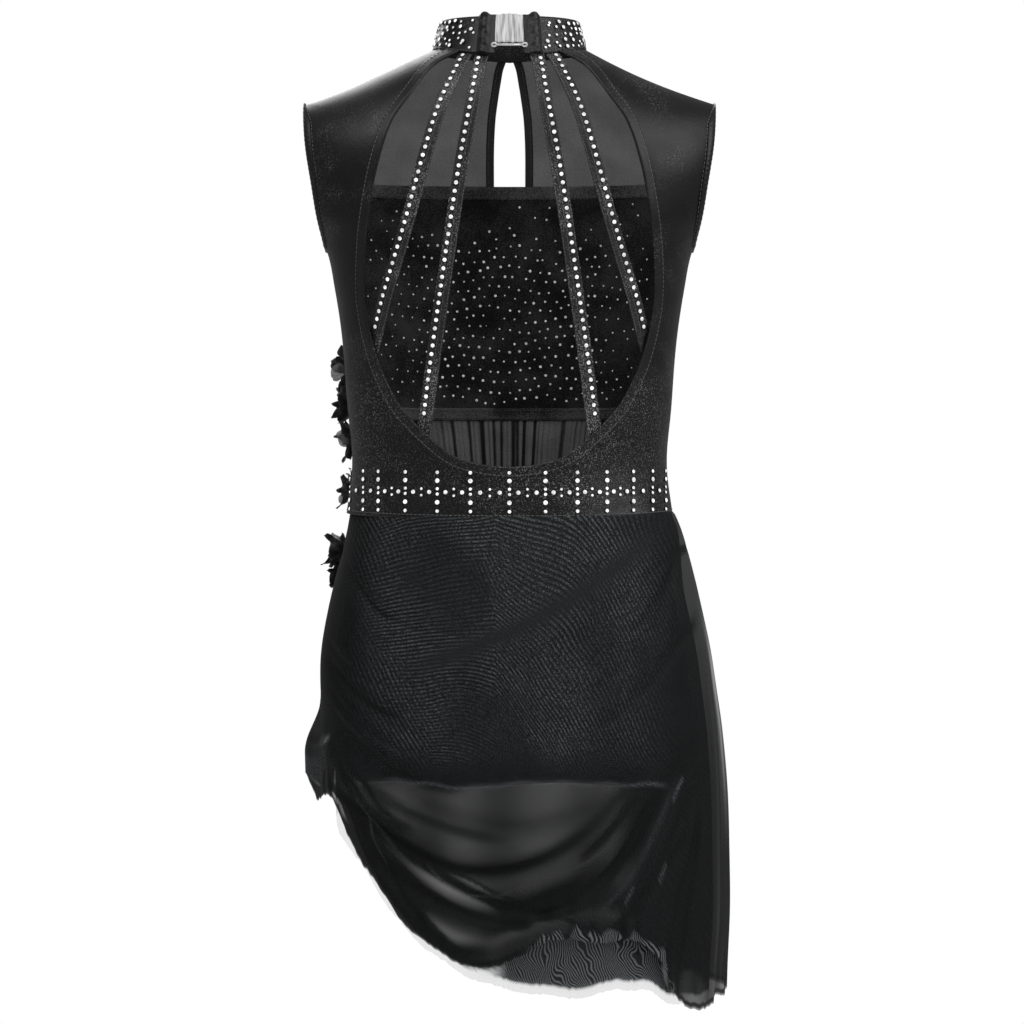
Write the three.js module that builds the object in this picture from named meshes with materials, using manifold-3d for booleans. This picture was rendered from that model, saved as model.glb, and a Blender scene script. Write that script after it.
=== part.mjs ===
// Figure skating dress, back view facing -Y: a sleeveless stretch-knit leotard top with a stand collar,
// an oval open back crossed by four narrow straps, a keyhole sheer yoke in front, and a draped,
// one-side-long tulle skirt over an opaque underskirt.
// Millimetres, +Z up, +Y towards the wearer's front, +X towards the wearer's right.
// The origin is the middle of the neck at the height of the shoulders, which hold the dress up.
import * as THREE from "three";
import { mergeVertices } from "three/addons/utils/BufferGeometryUtils.js";
import Module from "manifold-3d";

const wasm = await Module();
wasm.setup();

// ---------------------------------------------------------------- driving dimensions
const KNIT = 1.5; // wall of the stretch-knit panels
const TULLE = 1.4; // wall of the tulle layers
const YOKE = 1.2; // wall of the sheer yoke
const COLLAR = 2.0; // wall of the doubled collar
const SEAM = 0.3; // clearance between two pieces at a seam
const INSET = 0.5; // clearance of the front inserts inside their frame
const HALF_SEAM = SEAM / 2;

const SECTION_POWER = 2.3; // superellipse power of the body's cross-sections
const SHOULDER_POWER = 2.5; // superellipse power of the rounding over the shoulders
const SHOULDER_ROUND = 80; // height over which front and back close over the shoulder
const NECK_HALF = 55.4; // half width of the neck seam
const NECK_HEIGHT = 11.5; // height of the neck seam at the shoulder
const NECK_DIP = 9; // how much lower the neck seam runs at centre back
const SHOULDER_SLOPE = 0.42; // drop of the shoulder line per millimetre outwards
const SHOULDER_TIP = 147.6; // half width over the shoulder tips
const SHOULDER_SAG = 2.6; // how far the shoulder line hangs below a straight one
const UNDERARM = -131; // height of the underarm point
const WAIST = -320; // height of the waist seam at the sides
const WAIST_DIP = 5; // how much lower the waist seam runs at centre back

// Half width and the depths behind and before the side seam, at each height of the body.
const TORSO = [
  { z: 40, half: 168, back: 60, front: 62 },
  { z: 10, half: 167, back: 66, front: 68 },
  { z: -27, half: 165, back: 74, front: 78 },
  { z: -59, half: 161, back: 79, front: 88 },
  { z: -88, half: 153, back: 82, front: 95 },
  { z: -110, half: 144, back: 84, front: 99 },
  { z: -131, half: 131.8, back: 84, front: 100 },
  { z: -160, half: 125.3, back: 82, front: 98 },
  { z: -189, half: 121, back: 79, front: 93 },
  { z: -246, half: 116, back: 73, front: 84 },
  { z: -285, half: 113.2, back: 70, front: 80 },
  { z: -323, half: 117.5, back: 74, front: 82 },
];

// Half width at the armhole's edge.
const ARMHOLE = [
  { z: -27.2, x: 147.6 },
  { z: -59, x: 144.7 },
  { z: -88, x: 140 },
  { z: -110, x: 136.5 },
  { z: -131, x: 131.8 },
];

// Right half of the open back's edge, from the neck seam down to its lowest point.
const BACK_OPENING = [
  { x: 36, z: 6.3 },
  { x: 54, z: -4 },
  { x: 70, z: -26 },
  { x: 83, z: -46 },
  { x: 92, z: -74 },
  { x: 98, z: -104 },
  { x: 102, z: -137 },
  { x: 102, z: -173 },
  { x: 95, z: -207 },
  { x: 85, z: -232 },
  { x: 72, z: -252 },
  { x: 44, z: -278 },
  { x: 22, z: -286.5 },
  { x: 0, z: -289 },
];

// Half width of the front opening that the yoke, bust panel and midriff fill.
const FRONT_OPENING = [
  { z: 12, x: 51.5 },
  { z: 4, x: 60 },
  { z: -4, x: 69 },
  { z: -26, x: 86.5 },
  { z: -46, x: 97.5 },
  { z: -74, x: 106 },
  { z: -104, x: 111 },
  { z: -137, x: 113 },
  { z: -173, x: 112 },
  { z: -207, x: 106 },
  { z: -250, x: 99 },
  { z: -290, x: 96 },
];

// Heights of the front inserts, and the half width of the keyhole.
const BUST_TOP = -86.5;
const BUST_BOTTOM = -242.5;
const BAND_HEIGHT = 9.6;
const MIDRIFF_BOTTOM = -288;
const KEYHOLE = [
  { z: 12, half: 2.6 },
  { z: 6, half: 4.8 },
  { z: -2, half: 6.3 },
  { z: -15, half: 8.5 },
  { z: -29, half: 10.4 },
  { z: -50, half: 11.5 },
  { z: -77, half: 11.6 },
];
const BINDING_WIDTH = 6;
const MIDRIFF_GATHERS = 26;
const GATHER_DEPTH = 1.1;

// Skirt: half widths to the wearer's left and right, and depths behind and before, at each height.
const SKIRT = [
  { z: -318, left: 114, right: 117.5, back: 75, front: 82 },
  { z: -334, left: 117, right: 124, back: 78, front: 84 },
  { z: -362, left: 124, right: 132, back: 84, front: 87 },
  { z: -390, left: 130.5, right: 138.5, back: 91, front: 90 },
  { z: -419, left: 135.5, right: 144.5, back: 96, front: 93 },
  { z: -448, left: 136, right: 148.5, back: 99, front: 95 },
  { z: -477, left: 135.5, right: 152, back: 101, front: 97 },
  { z: -520, left: 135, right: 155, back: 103, front: 98 },
  { z: -563, left: 133, right: 156, back: 105, front: 99 },
  { z: -606, left: 132, right: 156.3, back: 106, front: 99 },
  { z: -650, left: 131, right: 154, back: 106, front: 98 },
  { z: -680, left: 130, right: 153, back: 106, front: 97 },
];

// Hems by the angle round the body in degrees: 0 at centre back, -90 at the left side, 90 at the right.
const HEMS = [
  { turn: -90, outer: -526, inner: -541 },
  { turn: -73, outer: -521, inner: -552 },
  { turn: -64, outer: -532, inner: -561 },
  { turn: -57, outer: -553, inner: -569 },
  { turn: -52, outer: -566, inner: -577 },
  { turn: -46, outer: -580, inner: -588 },
  { turn: -40, outer: -593, inner: -600 },
  { turn: -33, outer: -607, inner: -614 },
  { turn: -26, outer: -619, inner: -626 },
  { turn: -16, outer: -631, inner: -639 },
  { turn: -6, outer: -634, inner: -647 },
  { turn: 3, outer: -625, inner: -652 },
  { turn: 9, outer: -618, inner: -655 },
  { turn: 16, outer: -616, inner: -656 },
  { turn: 30, outer: -617, inner: -652 },
  { turn: 40, outer: -625, inner: -654 },
  { turn: 45, outer: -636, inner: -660 },
  { turn: 49, outer: -656, inner: -664 },
  { turn: 55, outer: -668, inner: -665 },
  { turn: 72, outer: -664, inner: -668 },
  { turn: 90, outer: -664, inner: -668 },
  { turn: 130, outer: -652, inner: -658 },
  { turn: 180, outer: -612, inner: -622 },
  { turn: 225, outer: -556, inner: -568 },
  { turn: 252, outer: -522, inner: -540 },
  { turn: 262, outer: -509, inner: -535 },
  { turn: 270, outer: -526, inner: -541 },
];
const UNDERSKIRT_HEM = -509;

// Swags across the back of the skirt. Each runs from (x0, z0) to (x1, z1) and sags below that line;
// a negative depth is a trough and a positive one a ridge.
const SWAGS = [
  { x0: -122, z0: -351, x1: -80, z1: -396, sag: 7, width: 7, depth: -2.5 },
  { x0: -68, z0: -438, x1: 104, z1: -345, sag: 14, width: 13, depth: 3 },
  { x0: 8, z0: -440, x1: 92, z1: -362, sag: 8, width: 7, depth: -2.5 },
  { x0: 50, z0: -452, x1: 112, z1: -384, sag: 8, width: 7, depth: -3 },
  { x0: -131, z0: -424, x1: -58, z1: -478, sag: 7, width: 7, depth: -3 },
  { x0: -131, z0: -467, x1: 91, z1: -506, sag: 49, width: 8, depth: -5 },
  { x0: -128, z0: -486, x1: 98, z1: -514, sag: 54, width: 11, depth: 4 },
  { x0: -116, z0: -522, x1: 98, z1: -520, sag: 46, width: 8, depth: -4.5 },
  { x0: -114, z0: -543, x1: 118, z1: -522, sag: 62, width: 8, depth: -5 },
  { x0: -112, z0: -557, x1: -40, z1: -632, sag: 14, width: 7, depth: -3 },
  { x0: -45, z0: -628, x1: 127, z1: -494, sag: 22, width: 8, depth: -5 },
];

// Hanging folds: the angle where each runs at its top and at its foot, and the heights between.
const FLUTES = [
  { top: 62, foot: 50, z0: -330, z1: -560, width: 5, depth: -3 },
  { top: 70, foot: 64, z0: -330, z1: -680, width: 5, depth: 3 },
  { top: 80, foot: 77, z0: -370, z1: -680, width: 5, depth: -3 },
  { top: 98, foot: 96, z0: -340, z1: -680, width: 7, depth: 4 },
  { top: 115, foot: 117, z0: -360, z1: -680, width: 7, depth: -4 },
  { top: 134, foot: 138, z0: -340, z1: -680, width: 8, depth: 4 },
  { top: 155, foot: 160, z0: -380, z1: -680, width: 8, depth: -4 },
  { top: 182, foot: 184, z0: -350, z1: -680, width: 9, depth: 5 },
  { top: 208, foot: 205, z0: -370, z1: -640, width: 7, depth: -4 },
  { top: 232, foot: 228, z0: -350, z1: -600, width: 7, depth: 4 },
  { top: 263, foot: 260, z0: -450, z1: -520, width: 9, depth: 15 },
];
const DEEPEST_FOLD = -6;

// How each skirt layer lies inside the outer one: hanging depth, and its share of the folds.
const LAYER_STEP = TULLE + 2 * SEAM;
const LAYERS = {
  outer: { drop: 0, share: 1 },
  inner: { drop: 10, share: 0 },
  underskirt: { drop: 18, share: 0 },
};
const LAYER_SPREAD = 60; // height below the waist over which the layers part

// Straps of the open back, from the neck seam to under the opening's edge.
const STRAP_WIDTH = 9;
const STRAP_WALL = 1.2;
const STRAP_TUCK = 2.2; // how far a strap's end lies inside the panel's face
const STRAPS = {
  outer: [
    { z: 3, x: 31.5 },
    { z: -32, x: 47 },
    { z: -66, x: 57.5 },
    { z: -119, x: 72 },
    { z: -177, x: 90 },
    { z: -207, x: 99.5 },
  ],
  inner: [
    { z: 2, x: 20 },
    { z: -32, x: 25.5 },
    { z: -74, x: 33 },
    { z: -154, x: 45 },
    { z: -243, x: 57.6 },
    { z: -275, x: 62.5 },
  ],
};

// Neck closure at centre back.
const GAP_HALF = 15; // half the gap between the collar's ends
const CASING_OUT = 23; // where each folded casing starts on the collar
const CASING_IN = 10.3; // where it meets the elastic
const CASING_RISE = 1.6; // how far the casings stand above the collar
const ELASTIC_HALF = 10;
const BAR_HALF = 10.8;
const BAR_RADIUS = 0.8;
const BAR_HEIGHT = 9;
const RING_RADIUS = 1.7;
const RING_WIRE = 0.65;
const BAR_GAP = 1.9; // how far the bar stands off the flaps where it crosses them

// Flowers sewn down the wearer's left side of the front.
const FLOWERS = [
  { z: -212, turn: 76, size: 12 },
  { z: -240, turn: 74, size: 13 },
  { z: -267, turn: 78, size: 11 },
  { z: -298, turn: 72, size: 12 },
  { z: -345, turn: 76, size: 12 },
  { z: -368, turn: 68, size: 13 },
];
const PETALS = 5;
const PETAL_WALL = 1.4;
const PETAL_TILT = 34;

// ---------------------------------------------------------------- curves and sections
const rad = THREE.MathUtils.degToRad;
const clamp01 = (value) => Math.min(1, Math.max(0, value));
const ease = (value) => clamp01(value) ** 2 * (3 - 2 * clamp01(value));
const mix = THREE.MathUtils.lerp;

// A smooth function of one column of a table, read by another column.
function column(rows, by, key) {
  const sorted = [...rows].sort((a, b) => a[by] - b[by]);
  const slope = (i) => {
    const before = sorted[Math.max(0, i - 1)];
    const after = sorted[Math.min(sorted.length - 1, i + 1)];
    return (after[key] - before[key]) / (after[by] - before[by]);
  };
  return (at) => {
    const last = sorted.length - 1;
    const place = Math.min(Math.max(at, sorted[0][by]), sorted[last][by]);
    let i = 0;
    while (i < last - 1 && place > sorted[i + 1][by]) i += 1;
    const a = sorted[i];
    const b = sorted[i + 1];
    const gap = b[by] - a[by];
    const t = (place - a[by]) / gap;
    const bend = (1 - t) * t * gap;
    const straight = mix(a[key], b[key], ease(t));
    return straight + bend * ((1 - t) * slope(i) - t * slope(i + 1));
  };
}

const torso = {
  half: column(TORSO, "z", "half"),
  back: column(TORSO, "z", "back"),
  front: column(TORSO, "z", "front"),
};
const skirt = {
  left: column(SKIRT, "z", "left"),
  right: column(SKIRT, "z", "right"),
  back: column(SKIRT, "z", "back"),
  front: column(SKIRT, "z", "front"),
};
const armholeX = column(ARMHOLE, "z", "x");
const frontOpeningX = column(FRONT_OPENING, "z", "x");
const keyholeHalf = column(KEYHOLE, "z", "half");
const outerHem = column(HEMS, "turn", "outer");
const innerHem = column(HEMS, "turn", "inner");

const shoulderSag = (share) => 4 * SHOULDER_SAG * share * (1 - share);
const shoulderHeight = (x) => NECK_HEIGHT - SHOULDER_SLOPE * (Math.abs(x) - NECK_HALF)
  - shoulderSag(clamp01((Math.abs(x) - NECK_HALF) / (SHOULDER_TIP - NECK_HALF)));
const neckDip = (x) => NECK_DIP * (1 - Math.min(1, Math.abs(x) / NECK_HALF) ** 2);
const neckHeight = (side, x) => NECK_HEIGHT - (side < 0 ? neckDip(x) : 0);
const waistHeight = (turn) => WAIST - WAIST_DIP * Math.max(0, Math.cos(rad(turn)));
const bulge = (share, power) => Math.max(0, 1 - Math.min(1, Math.abs(share)) ** power) ** (1 / power);

// A point of the body at width x and height z; side is -1 for the back and 1 for the front.
function bodyAt(side, x, z) {
  const depth = side < 0 ? torso.back(z) : torso.front(z);
  const over = bulge(1 - clamp01((shoulderHeight(x) - z) / SHOULDER_ROUND), SHOULDER_POWER);
  const y = side * (depth * bulge(x / torso.half(z), SECTION_POWER) * over + HALF_SEAM);
  return new THREE.Vector3(x, y, z);
}

// The same point by its angle from the middle of that side, which spaces rows evenly round the flank.
const bodyTurned = (side, angle, z) => bodyAt(side, torso.half(z) * Math.sin(angle), z);
const angleOf = (x, z) => Math.asin(Math.min(1, Math.max(-1, x / torso.half(z))));

// Displacement of the skirt's cloth by its swags and hanging folds.
function foldLift(turn, x, z) {
  let lift = 0;
  const onBack = ease((96 - Math.abs(turn)) / 12);
  for (const fold of SWAGS) {
    const s = (x - fold.x0) / (fold.x1 - fold.x0);
    if (s <= -0.1 || s >= 1.1) continue;
    const line = mix(fold.z0, fold.z1, s) - 4 * fold.sag * s * (1 - s);
    const slope = (fold.z1 - fold.z0 - 4 * fold.sag * (1 - 2 * s)) / (fold.x1 - fold.x0);
    const away = (z - line) / Math.hypot(1, slope) / fold.width;
    const fade = ease((s + 0.1) / 0.25) * ease((1.1 - s) / 0.25);
    lift += onBack * fade * fold.depth * Math.exp(-away * away);
  }
  for (const fold of FLUTES) {
    const s = (fold.z0 - z) / (fold.z0 - fold.z1);
    if (s <= 0) continue;
    const middle = mix(fold.top, fold.foot, Math.min(1, s));
    const round = turn < -60 ? turn + 360 : turn;
    const away = (round - middle) / fold.width;
    lift += fold.depth * ease(s * 1.6) * Math.exp(-away * away);
  }
  return Math.max(DEEPEST_FOLD, lift);
}

// A point of a skirt layer at an angle round the body and a height, with its lift off the plain form.
function skirtAt(layer, turn, z) {
  const angle = rad(turn);
  const half = Math.sin(angle) < 0 ? skirt.left(z) : skirt.right(z);
  const depth = Math.cos(angle) > 0 ? skirt.back(z) : skirt.front(z);
  const x = half * Math.sin(angle);
  const side = Math.cos(angle) > 0 ? -1 : 1;
  const y = side * depth * bulge(Math.sin(angle), SECTION_POWER);
  const below = ease((waistHeight(turn) - z) / LAYER_SPREAD);
  const count = Object.keys(LAYERS).indexOf(layer);
  const { drop, share } = LAYERS[layer];
  const lift = share * foldLift(turn, x, z) * below - mix(count * LAYER_STEP, drop, below);
  return { point: new THREE.Vector3(x, y, z), lift };
}

// ---------------------------------------------------------------- walls
// The unit normal of each point of a grid, facing away from the body's upright axis. Points on a side
// or shoulder seam keep their normals in the seam's plane, so that the two panels stay apart.
function gridNormals(grid, closed) {
  const columns = grid.length;
  return grid.map((line, i) =>
    line.map((point, j) => {
      const ahead = grid[closed ? (i + 1) % columns : Math.min(columns - 1, i + 1)][j];
      const behind = grid[closed ? (i - 1 + columns) % columns : Math.max(0, i - 1)][j];
      const along = ahead.clone().sub(behind);
      const across = line[Math.min(line.length - 1, j + 1)].clone().sub(line[Math.max(0, j - 1)]);
      const normal = along.cross(across).normalize();
      if (normal.x * point.x + normal.y * point.y < 0) normal.negate();
      if (Math.abs(Math.abs(point.y) - HALF_SEAM) < 0.01) normal.setY(0).normalize();
      return normal;
    }),
  );
}

function signedVolume(positions, index) {
  const at = (i) => new THREE.Vector3().fromArray(positions, 3 * i);
  let sum = 0;
  for (let k = 0; k < index.length; k += 3)
    sum += at(index[k]).dot(at(index[k + 1]).cross(at(index[k + 2])));
  return sum / 6;
}

// A grid of cells, each a point, the cloth's normal there and how far the outer face is lifted off it.
// closed joins the last column to the first.
function gridOf(columns, rows, at, closed = false) {
  const cells = Array.from({ length: closed ? columns : columns + 1 }, (_, i) =>
    Array.from({ length: rows + 1 }, (_, j) => {
      const made = at(i / columns, j / rows);
      return made.point ? made : { point: made, lift: 0 };
    }),
  );
  const normals = gridNormals(cells.map((line) => line.map((cell) => cell.point)), closed);
  cells.forEach((line, i) => line.forEach((cell, j) => (cell.normal = normals[i][j])));
  return cells;
}

// A closed wall whose outer face is a grid of cells and whose inner face lies a thickness inside it.
// Each square is cut along its shorter diagonal, so a band that lies on a panel is cut as the panel is.
function wallOf(cells, thickness, closed = false) {
  const lines = cells.length;
  const columns = closed ? lines : lines - 1;
  const rows = cells[0].length - 1;
  const positions = [];
  for (const inwards of [0, thickness])
    for (const { point, normal, lift } of cells.flat())
      positions.push(...point.clone().addScaledVector(normal, lift - inwards));
  const layer = lines * (rows + 1);
  const id = (i, j, face) => face * layer + (i % lines) * (rows + 1) + j;
  const index = [];
  const spot = (i, j) => cells[i % lines][j].point;
  const quad = (a, b, c, d) => index.push(a, b, c, a, c, d);
  const square = (i, j, face) => {
    const corners = [id(i, j, face), id(i + 1, j, face), id(i + 1, j + 1, face), id(i, j + 1, face)];
    const direct = spot(i, j).distanceTo(spot(i + 1, j + 1));
    if (direct > spot(i + 1, j).distanceTo(spot(i, j + 1))) corners.push(corners.shift());
    if (face) [corners[1], corners[3]] = [corners[3], corners[1]];
    quad(...corners);
  };
  for (let i = 0; i < columns; i += 1) {
    for (let j = 0; j < rows; j += 1) {
      square(i, j, 0);
      square(i, j, 1);
    }
    quad(id(i + 1, 0, 0), id(i, 0, 0), id(i, 0, 1), id(i + 1, 0, 1));
    quad(id(i, rows, 0), id(i + 1, rows, 0), id(i + 1, rows, 1), id(i, rows, 1));
  }
  if (!closed)
    for (let j = 0; j < rows; j += 1) {
      quad(id(0, j, 0), id(0, j + 1, 0), id(0, j + 1, 1), id(0, j, 1));
      quad(id(columns, j + 1, 0), id(columns, j, 0), id(columns, j, 1), id(columns, j + 1, 1));
    }
  if (signedVolume(positions, index) < 0) index.reverse();
  const geometry = new THREE.BufferGeometry();
  geometry.setAttribute("position", new THREE.Float32BufferAttribute(positions, 3));
  geometry.setIndex(index);
  geometry.computeVertexNormals();
  return geometry;
}

function wallGeometry(columns, rows, at, thickness, closed = false) {
  return wallOf(gridOf(columns, rows, at, closed), thickness, closed);
}

// ---------------------------------------------------------------- materials and the group
const finish = (color, roughness, metalness = 0) =>
  new THREE.MeshStandardMaterial({ color, roughness, metalness, side: THREE.DoubleSide });
const MATERIAL = {
  knit: finish(0x1d1d20, 0.38),
  velvet: finish(0x0c0c0d, 0.9),
  tulle: finish(0x1a1a1c, 0.7),
  sheer: finish(0x3a3a3a, 0.75),
  lining: finish(0x101011, 0.8),
  satin: finish(0xc9c9c9, 0.35),
  metal: finish(0xd8d8da, 0.2, 1),
  petal: finish(0x161617, 0.65),
};
const dress = new THREE.Group();

function add(name, geometry, material) {
  const mesh = new THREE.Mesh(geometry, material);
  mesh.name = name;
  dress.add(mesh);
}

// ---------------------------------------------------------------- knit panels
// Each panel is a frame round an opening. Its ribs run from the opening's edge out to the shoulder line,
// the armhole, the side seam and the waist, one stretch after another. until is the share of the
// opening's edge that lies before a stretch's last rib.
const PANEL_ROWS = [0, 0.22, 0.45, 0.68, 0.88, 1];
const EDGE_ROW = PANEL_ROWS.length - 2; // the binding covers the last row
const TIP_HEIGHT = shoulderHeight(SHOULDER_TIP);
const stretches = (until) => [
  { until: until[0], ribs: 4, outer: (t) => ({ x: mix(NECK_HALF, SHOULDER_TIP, t), edge: "shoulder" }) },
  { until: until[1], ribs: 7, outer: (t) => ({ z: mix(TIP_HEIGHT, UNDERARM, t), edge: "armhole" }) },
  { until: until[2], ribs: 6, outer: (t) => ({ z: mix(UNDERARM, WAIST, t), edge: "side" }) },
  { until: 1, ribs: 6, outer: (t) => ({ turn: mix(90, 0, t), edge: "waist" }) },
];

function outerPlace(side, { x, z, turn, edge }) {
  if (edge === "shoulder") return { angle: angleOf(x, shoulderHeight(x)), z: shoulderHeight(x) };
  if (edge === "armhole") return { angle: angleOf(armholeX(z), z), z };
  if (edge === "side") return { angle: Math.PI / 2, z };
  return { angle: rad(turn), z: waistHeight(side < 0 ? turn : 180 - turn) };
}

// The ribs of the right half of a panel, each with the place where it starts and where it ends.
function panelRibs(side, opening, until) {
  const ribs = [];
  let from = 0;
  for (const stretch of stretches(until)) {
    for (let k = ribs.length ? 1 : 0; k <= stretch.ribs; k += 1) {
      const t = k / stretch.ribs;
      const inner = opening(mix(from, stretch.until, t));
      const place = outerPlace(side, stretch.outer(t));
      const { edge } = stretch.outer(t);
      const start = { angle: angleOf(inner.x, inner.z), z: inner.z };
      ribs.push({ inner: start, outer: place, edge, neck: !ribs.length });
    }
    from = stretch.until;
  }
  return ribs;
}

// Rows crowd towards the outer end, where the cloth turns over the shoulder. The first rib is the neck seam.
const ribPoint = (side, rib, share, mirrored) => {
  const t = rib.edge === "shoulder" ? Math.sin((share * Math.PI) / 2) : share;
  const angle = mix(rib.inner.angle, rib.outer.angle, t);
  const z = mix(rib.inner.z, rib.outer.z, t);
  const seam = neckHeight(side, torso.half(z) * Math.sin(angle));
  return bodyTurned(side, mirrored ? -angle : angle, rib.neck ? seam : z);
};

function panelGrid(side, ribs) {
  const all = [...ribs.map((rib) => [rib, false]), ...[...ribs].reverse().slice(1).map((rib) => [rib, true])];
  const columns = all.length - 1;
  const rows = PANEL_ROWS.length - 1;
  return gridOf(columns, rows, (u, v) => {
    const [rib, mirrored] = all[Math.round(u * columns)];
    return ribPoint(side, rib, PANEL_ROWS[Math.round(v * rows)], mirrored);
  });
}

const backEdge = new THREE.SplineCurve(BACK_OPENING.map(({ x, z }) => new THREE.Vector2(x, z)));
const backOpening = (share) => {
  const place = backEdge.getPointAt(share);
  return { x: place.x, z: place.y };
};
const FRONT_SIDE_SHARE = 0.76; // share of the front opening's edge that runs down its side
const frontOpening = (share) => {
  if (share <= FRONT_SIDE_SHARE) {
    const z = mix(neckHeight(1, FRONT_OPENING[0].x), MIDRIFF_BOTTOM - INSET, share / FRONT_SIDE_SHARE);
    return { x: frontOpeningX(z), z };
  }
  const along = (share - FRONT_SIDE_SHARE) / (1 - FRONT_SIDE_SHARE);
  return { x: frontOpeningX(MIDRIFF_BOTTOM) * (1 - along), z: MIDRIFF_BOTTOM - INSET };
};
const backRibs = panelRibs(-1, backOpening, [0.19, 0.42, 0.78]);
const frontRibs = panelRibs(1, frontOpening, [0.14, 0.38, FRONT_SIDE_SHARE]);
const backPanel = panelGrid(-1, backRibs);
const frontPanel = panelGrid(1, frontRibs);
add("back_panel", wallOf(backPanel, KNIT), MATERIAL.knit);
add("front_panel", wallOf(frontPanel, KNIT), MATERIAL.knit);

// Armhole bindings: a band over the last row of both panels' ribs, round from the shoulder and back.
const BINDING_WALL = 1.0;
const armholeFrom = backRibs.findIndex((rib) => rib.edge === "armhole") - 1;
const armholeTo = backRibs.findLastIndex((rib) => rib.edge === "armhole");
const bindingCells = (line) =>
  line.slice(EDGE_ROW).map((cell) => ({ ...cell, lift: SEAM + BINDING_WALL }));
// Where the band crosses a seam it bends over the seam itself, which onSeam finds from the point between.
const seamCells = (one, other, onSeam) =>
  one.map((cell, j) => ({
    point: new THREE.Vector3(...onSeam(cell.point.clone().lerp(other[j].point, 0.5))),
    normal: cell.normal.clone().add(other[j].normal).normalize(),
    lift: cell.lift,
  }));
for (const [name, mirrored] of [["left", true], ["right", false]]) {
  const armhole = (panel) => (mirrored ? [...panel].reverse() : panel).slice(armholeFrom, armholeTo + 1);
  const behind = armhole(backPanel).map(bindingCells);
  const before = armhole(frontPanel).map(bindingCells).reverse();
  const underarm = seamCells(behind.at(-1), before[0], ({ x, z }) => [Math.sign(x) * torso.half(z), 0, z]);
  const shoulder = seamCells(before.at(-1), behind[0], ({ x }) => [x, 0, shoulderHeight(x)]);
  const loop = [...behind, underarm, ...before, shoulder];
  add(`armhole_binding_${name}`, wallOf(loop, BINDING_WALL, true), MATERIAL.knit);
}

// ---------------------------------------------------------------- front inserts
const insetX = (z) => frontOpeningX(z) - INSET;

// A piece of the front between two heights that fills the opening from side to side.
function frontInsert(columns, rows, top, bottom, thickness, lift = () => 0) {
  return wallGeometry(
    columns,
    rows,
    (u, v) => {
      const z = mix(bottom, top, v);
      const angle = angleOf(insetX(z), z) * (2 * u - 1);
      return { point: bodyTurned(1, angle, z), lift: lift(u, v) };
    },
    thickness,
  );
}

// The bands stand a little proud of the panel they edge, on both of its faces.
const BAND_LIFT = 0.25;
const BAND_WALL = KNIT + 2 * BAND_LIFT;
const bandTop = BUST_TOP + BAND_HEIGHT;
const bandFoot = BUST_BOTTOM - BAND_HEIGHT;
const proud = () => BAND_LIFT;
add("bust_panel", frontInsert(16, 6, BUST_TOP - SEAM, BUST_BOTTOM + SEAM, KNIT), MATERIAL.velvet);
add("bust_top_band", frontInsert(16, 1, bandTop, BUST_TOP, BAND_WALL, proud), MATERIAL.velvet);
add("bust_bottom_band", frontInsert(16, 1, BUST_BOTTOM, bandFoot, BAND_WALL, proud), MATERIAL.velvet);
const gatherLift = (u) => GATHER_DEPTH * Math.cos(2 * Math.PI * MIDRIFF_GATHERS * u);
add(
  "midriff",
  frontInsert(4 * MIDRIFF_GATHERS, 2, bandFoot - SEAM, MIDRIFF_BOTTOM, KNIT, (u, v) =>
    gatherLift(u) * (0.55 + 0.45 * Math.sin(Math.PI * v)),
  ),
  MATERIAL.sheer,
);

// The sheer yoke either side of the keyhole, from the bust band up to the neck seam.
const yokeBottom = bandTop + SEAM;
for (const [name, sign] of [["left", -1], ["right", 1]]) {
  const at = (u, v) => {
    const neckX = mix(keyholeHalf(NECK_HEIGHT) + BINDING_WIDTH + SEAM, FRONT_OPENING[0].x - INSET, u);
    const z = mix(yokeBottom, neckHeight(1, neckX) - SEAM, v);
    const x = mix(keyholeHalf(z) + BINDING_WIDTH + SEAM, insetX(z), u);
    return bodyAt(1, sign * x, z);
  };
  add(`yoke_${name}`, wallGeometry(6, 7, at, YOKE), MATERIAL.sheer);
  const edge = (u, v) => {
    const z = mix(yokeBottom, neckHeight(1, 0) - SEAM, v);
    return { point: bodyAt(1, sign * (keyholeHalf(z) + BINDING_WIDTH * u), z), lift: BAND_LIFT };
  };
  add(`keyhole_binding_${name}`, wallGeometry(1, 8, edge, YOKE + 2 * BAND_LIFT), MATERIAL.knit);
}

// ---------------------------------------------------------------- straps
for (const [name, rows] of Object.entries(STRAPS)) {
  const middle = column(rows, "z", "x");
  const foot = rows.at(-1).z;
  for (const [sideName, sign] of [["left", -1], ["right", 1]]) {
    const at = (u, v) => {
      const across = (u - 0.5) * STRAP_WIDTH;
      const z = mix(neckHeight(-1, rows[0].x + across) - SEAM, foot, v);
      const lean = Math.atan2(middle(z - 4) - middle(z + 4), 8);
      const point = bodyAt(-1, sign * (middle(z) + across * Math.cos(lean)), z + across * Math.sin(lean) * v);
      return { point, lift: -STRAP_TUCK * ease((v - 0.8) / 0.15) };
    };
    add(`strap_${name}_${sideName}`, wallGeometry(1, 16, at, STRAP_WALL), MATERIAL.knit);
  }
}

// ---------------------------------------------------------------- collar and its closure
const COLLAR_TOP = { half: 50, depth: 46, back: 31, side: 32, front: 31 };

// A point of the collar by the angle from centre back and the share of its height, 1 at the top.
function collarAt(angle, share) {
  const side = Math.cos(angle) > 0 ? -1 : 1;
  const x = NECK_HALF * Math.sin(angle);
  const foot = bodyAt(side, x, neckHeight(side, x));
  foot.z += SEAM;
  const end = side < 0 ? COLLAR_TOP.back : COLLAR_TOP.front;
  const head = new THREE.Vector3(
    COLLAR_TOP.half * Math.sin(angle),
    -COLLAR_TOP.depth * Math.cos(angle),
    mix(COLLAR_TOP.side, end, Math.cos(angle) ** 2),
  );
  return foot.lerp(head, share);
}

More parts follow.
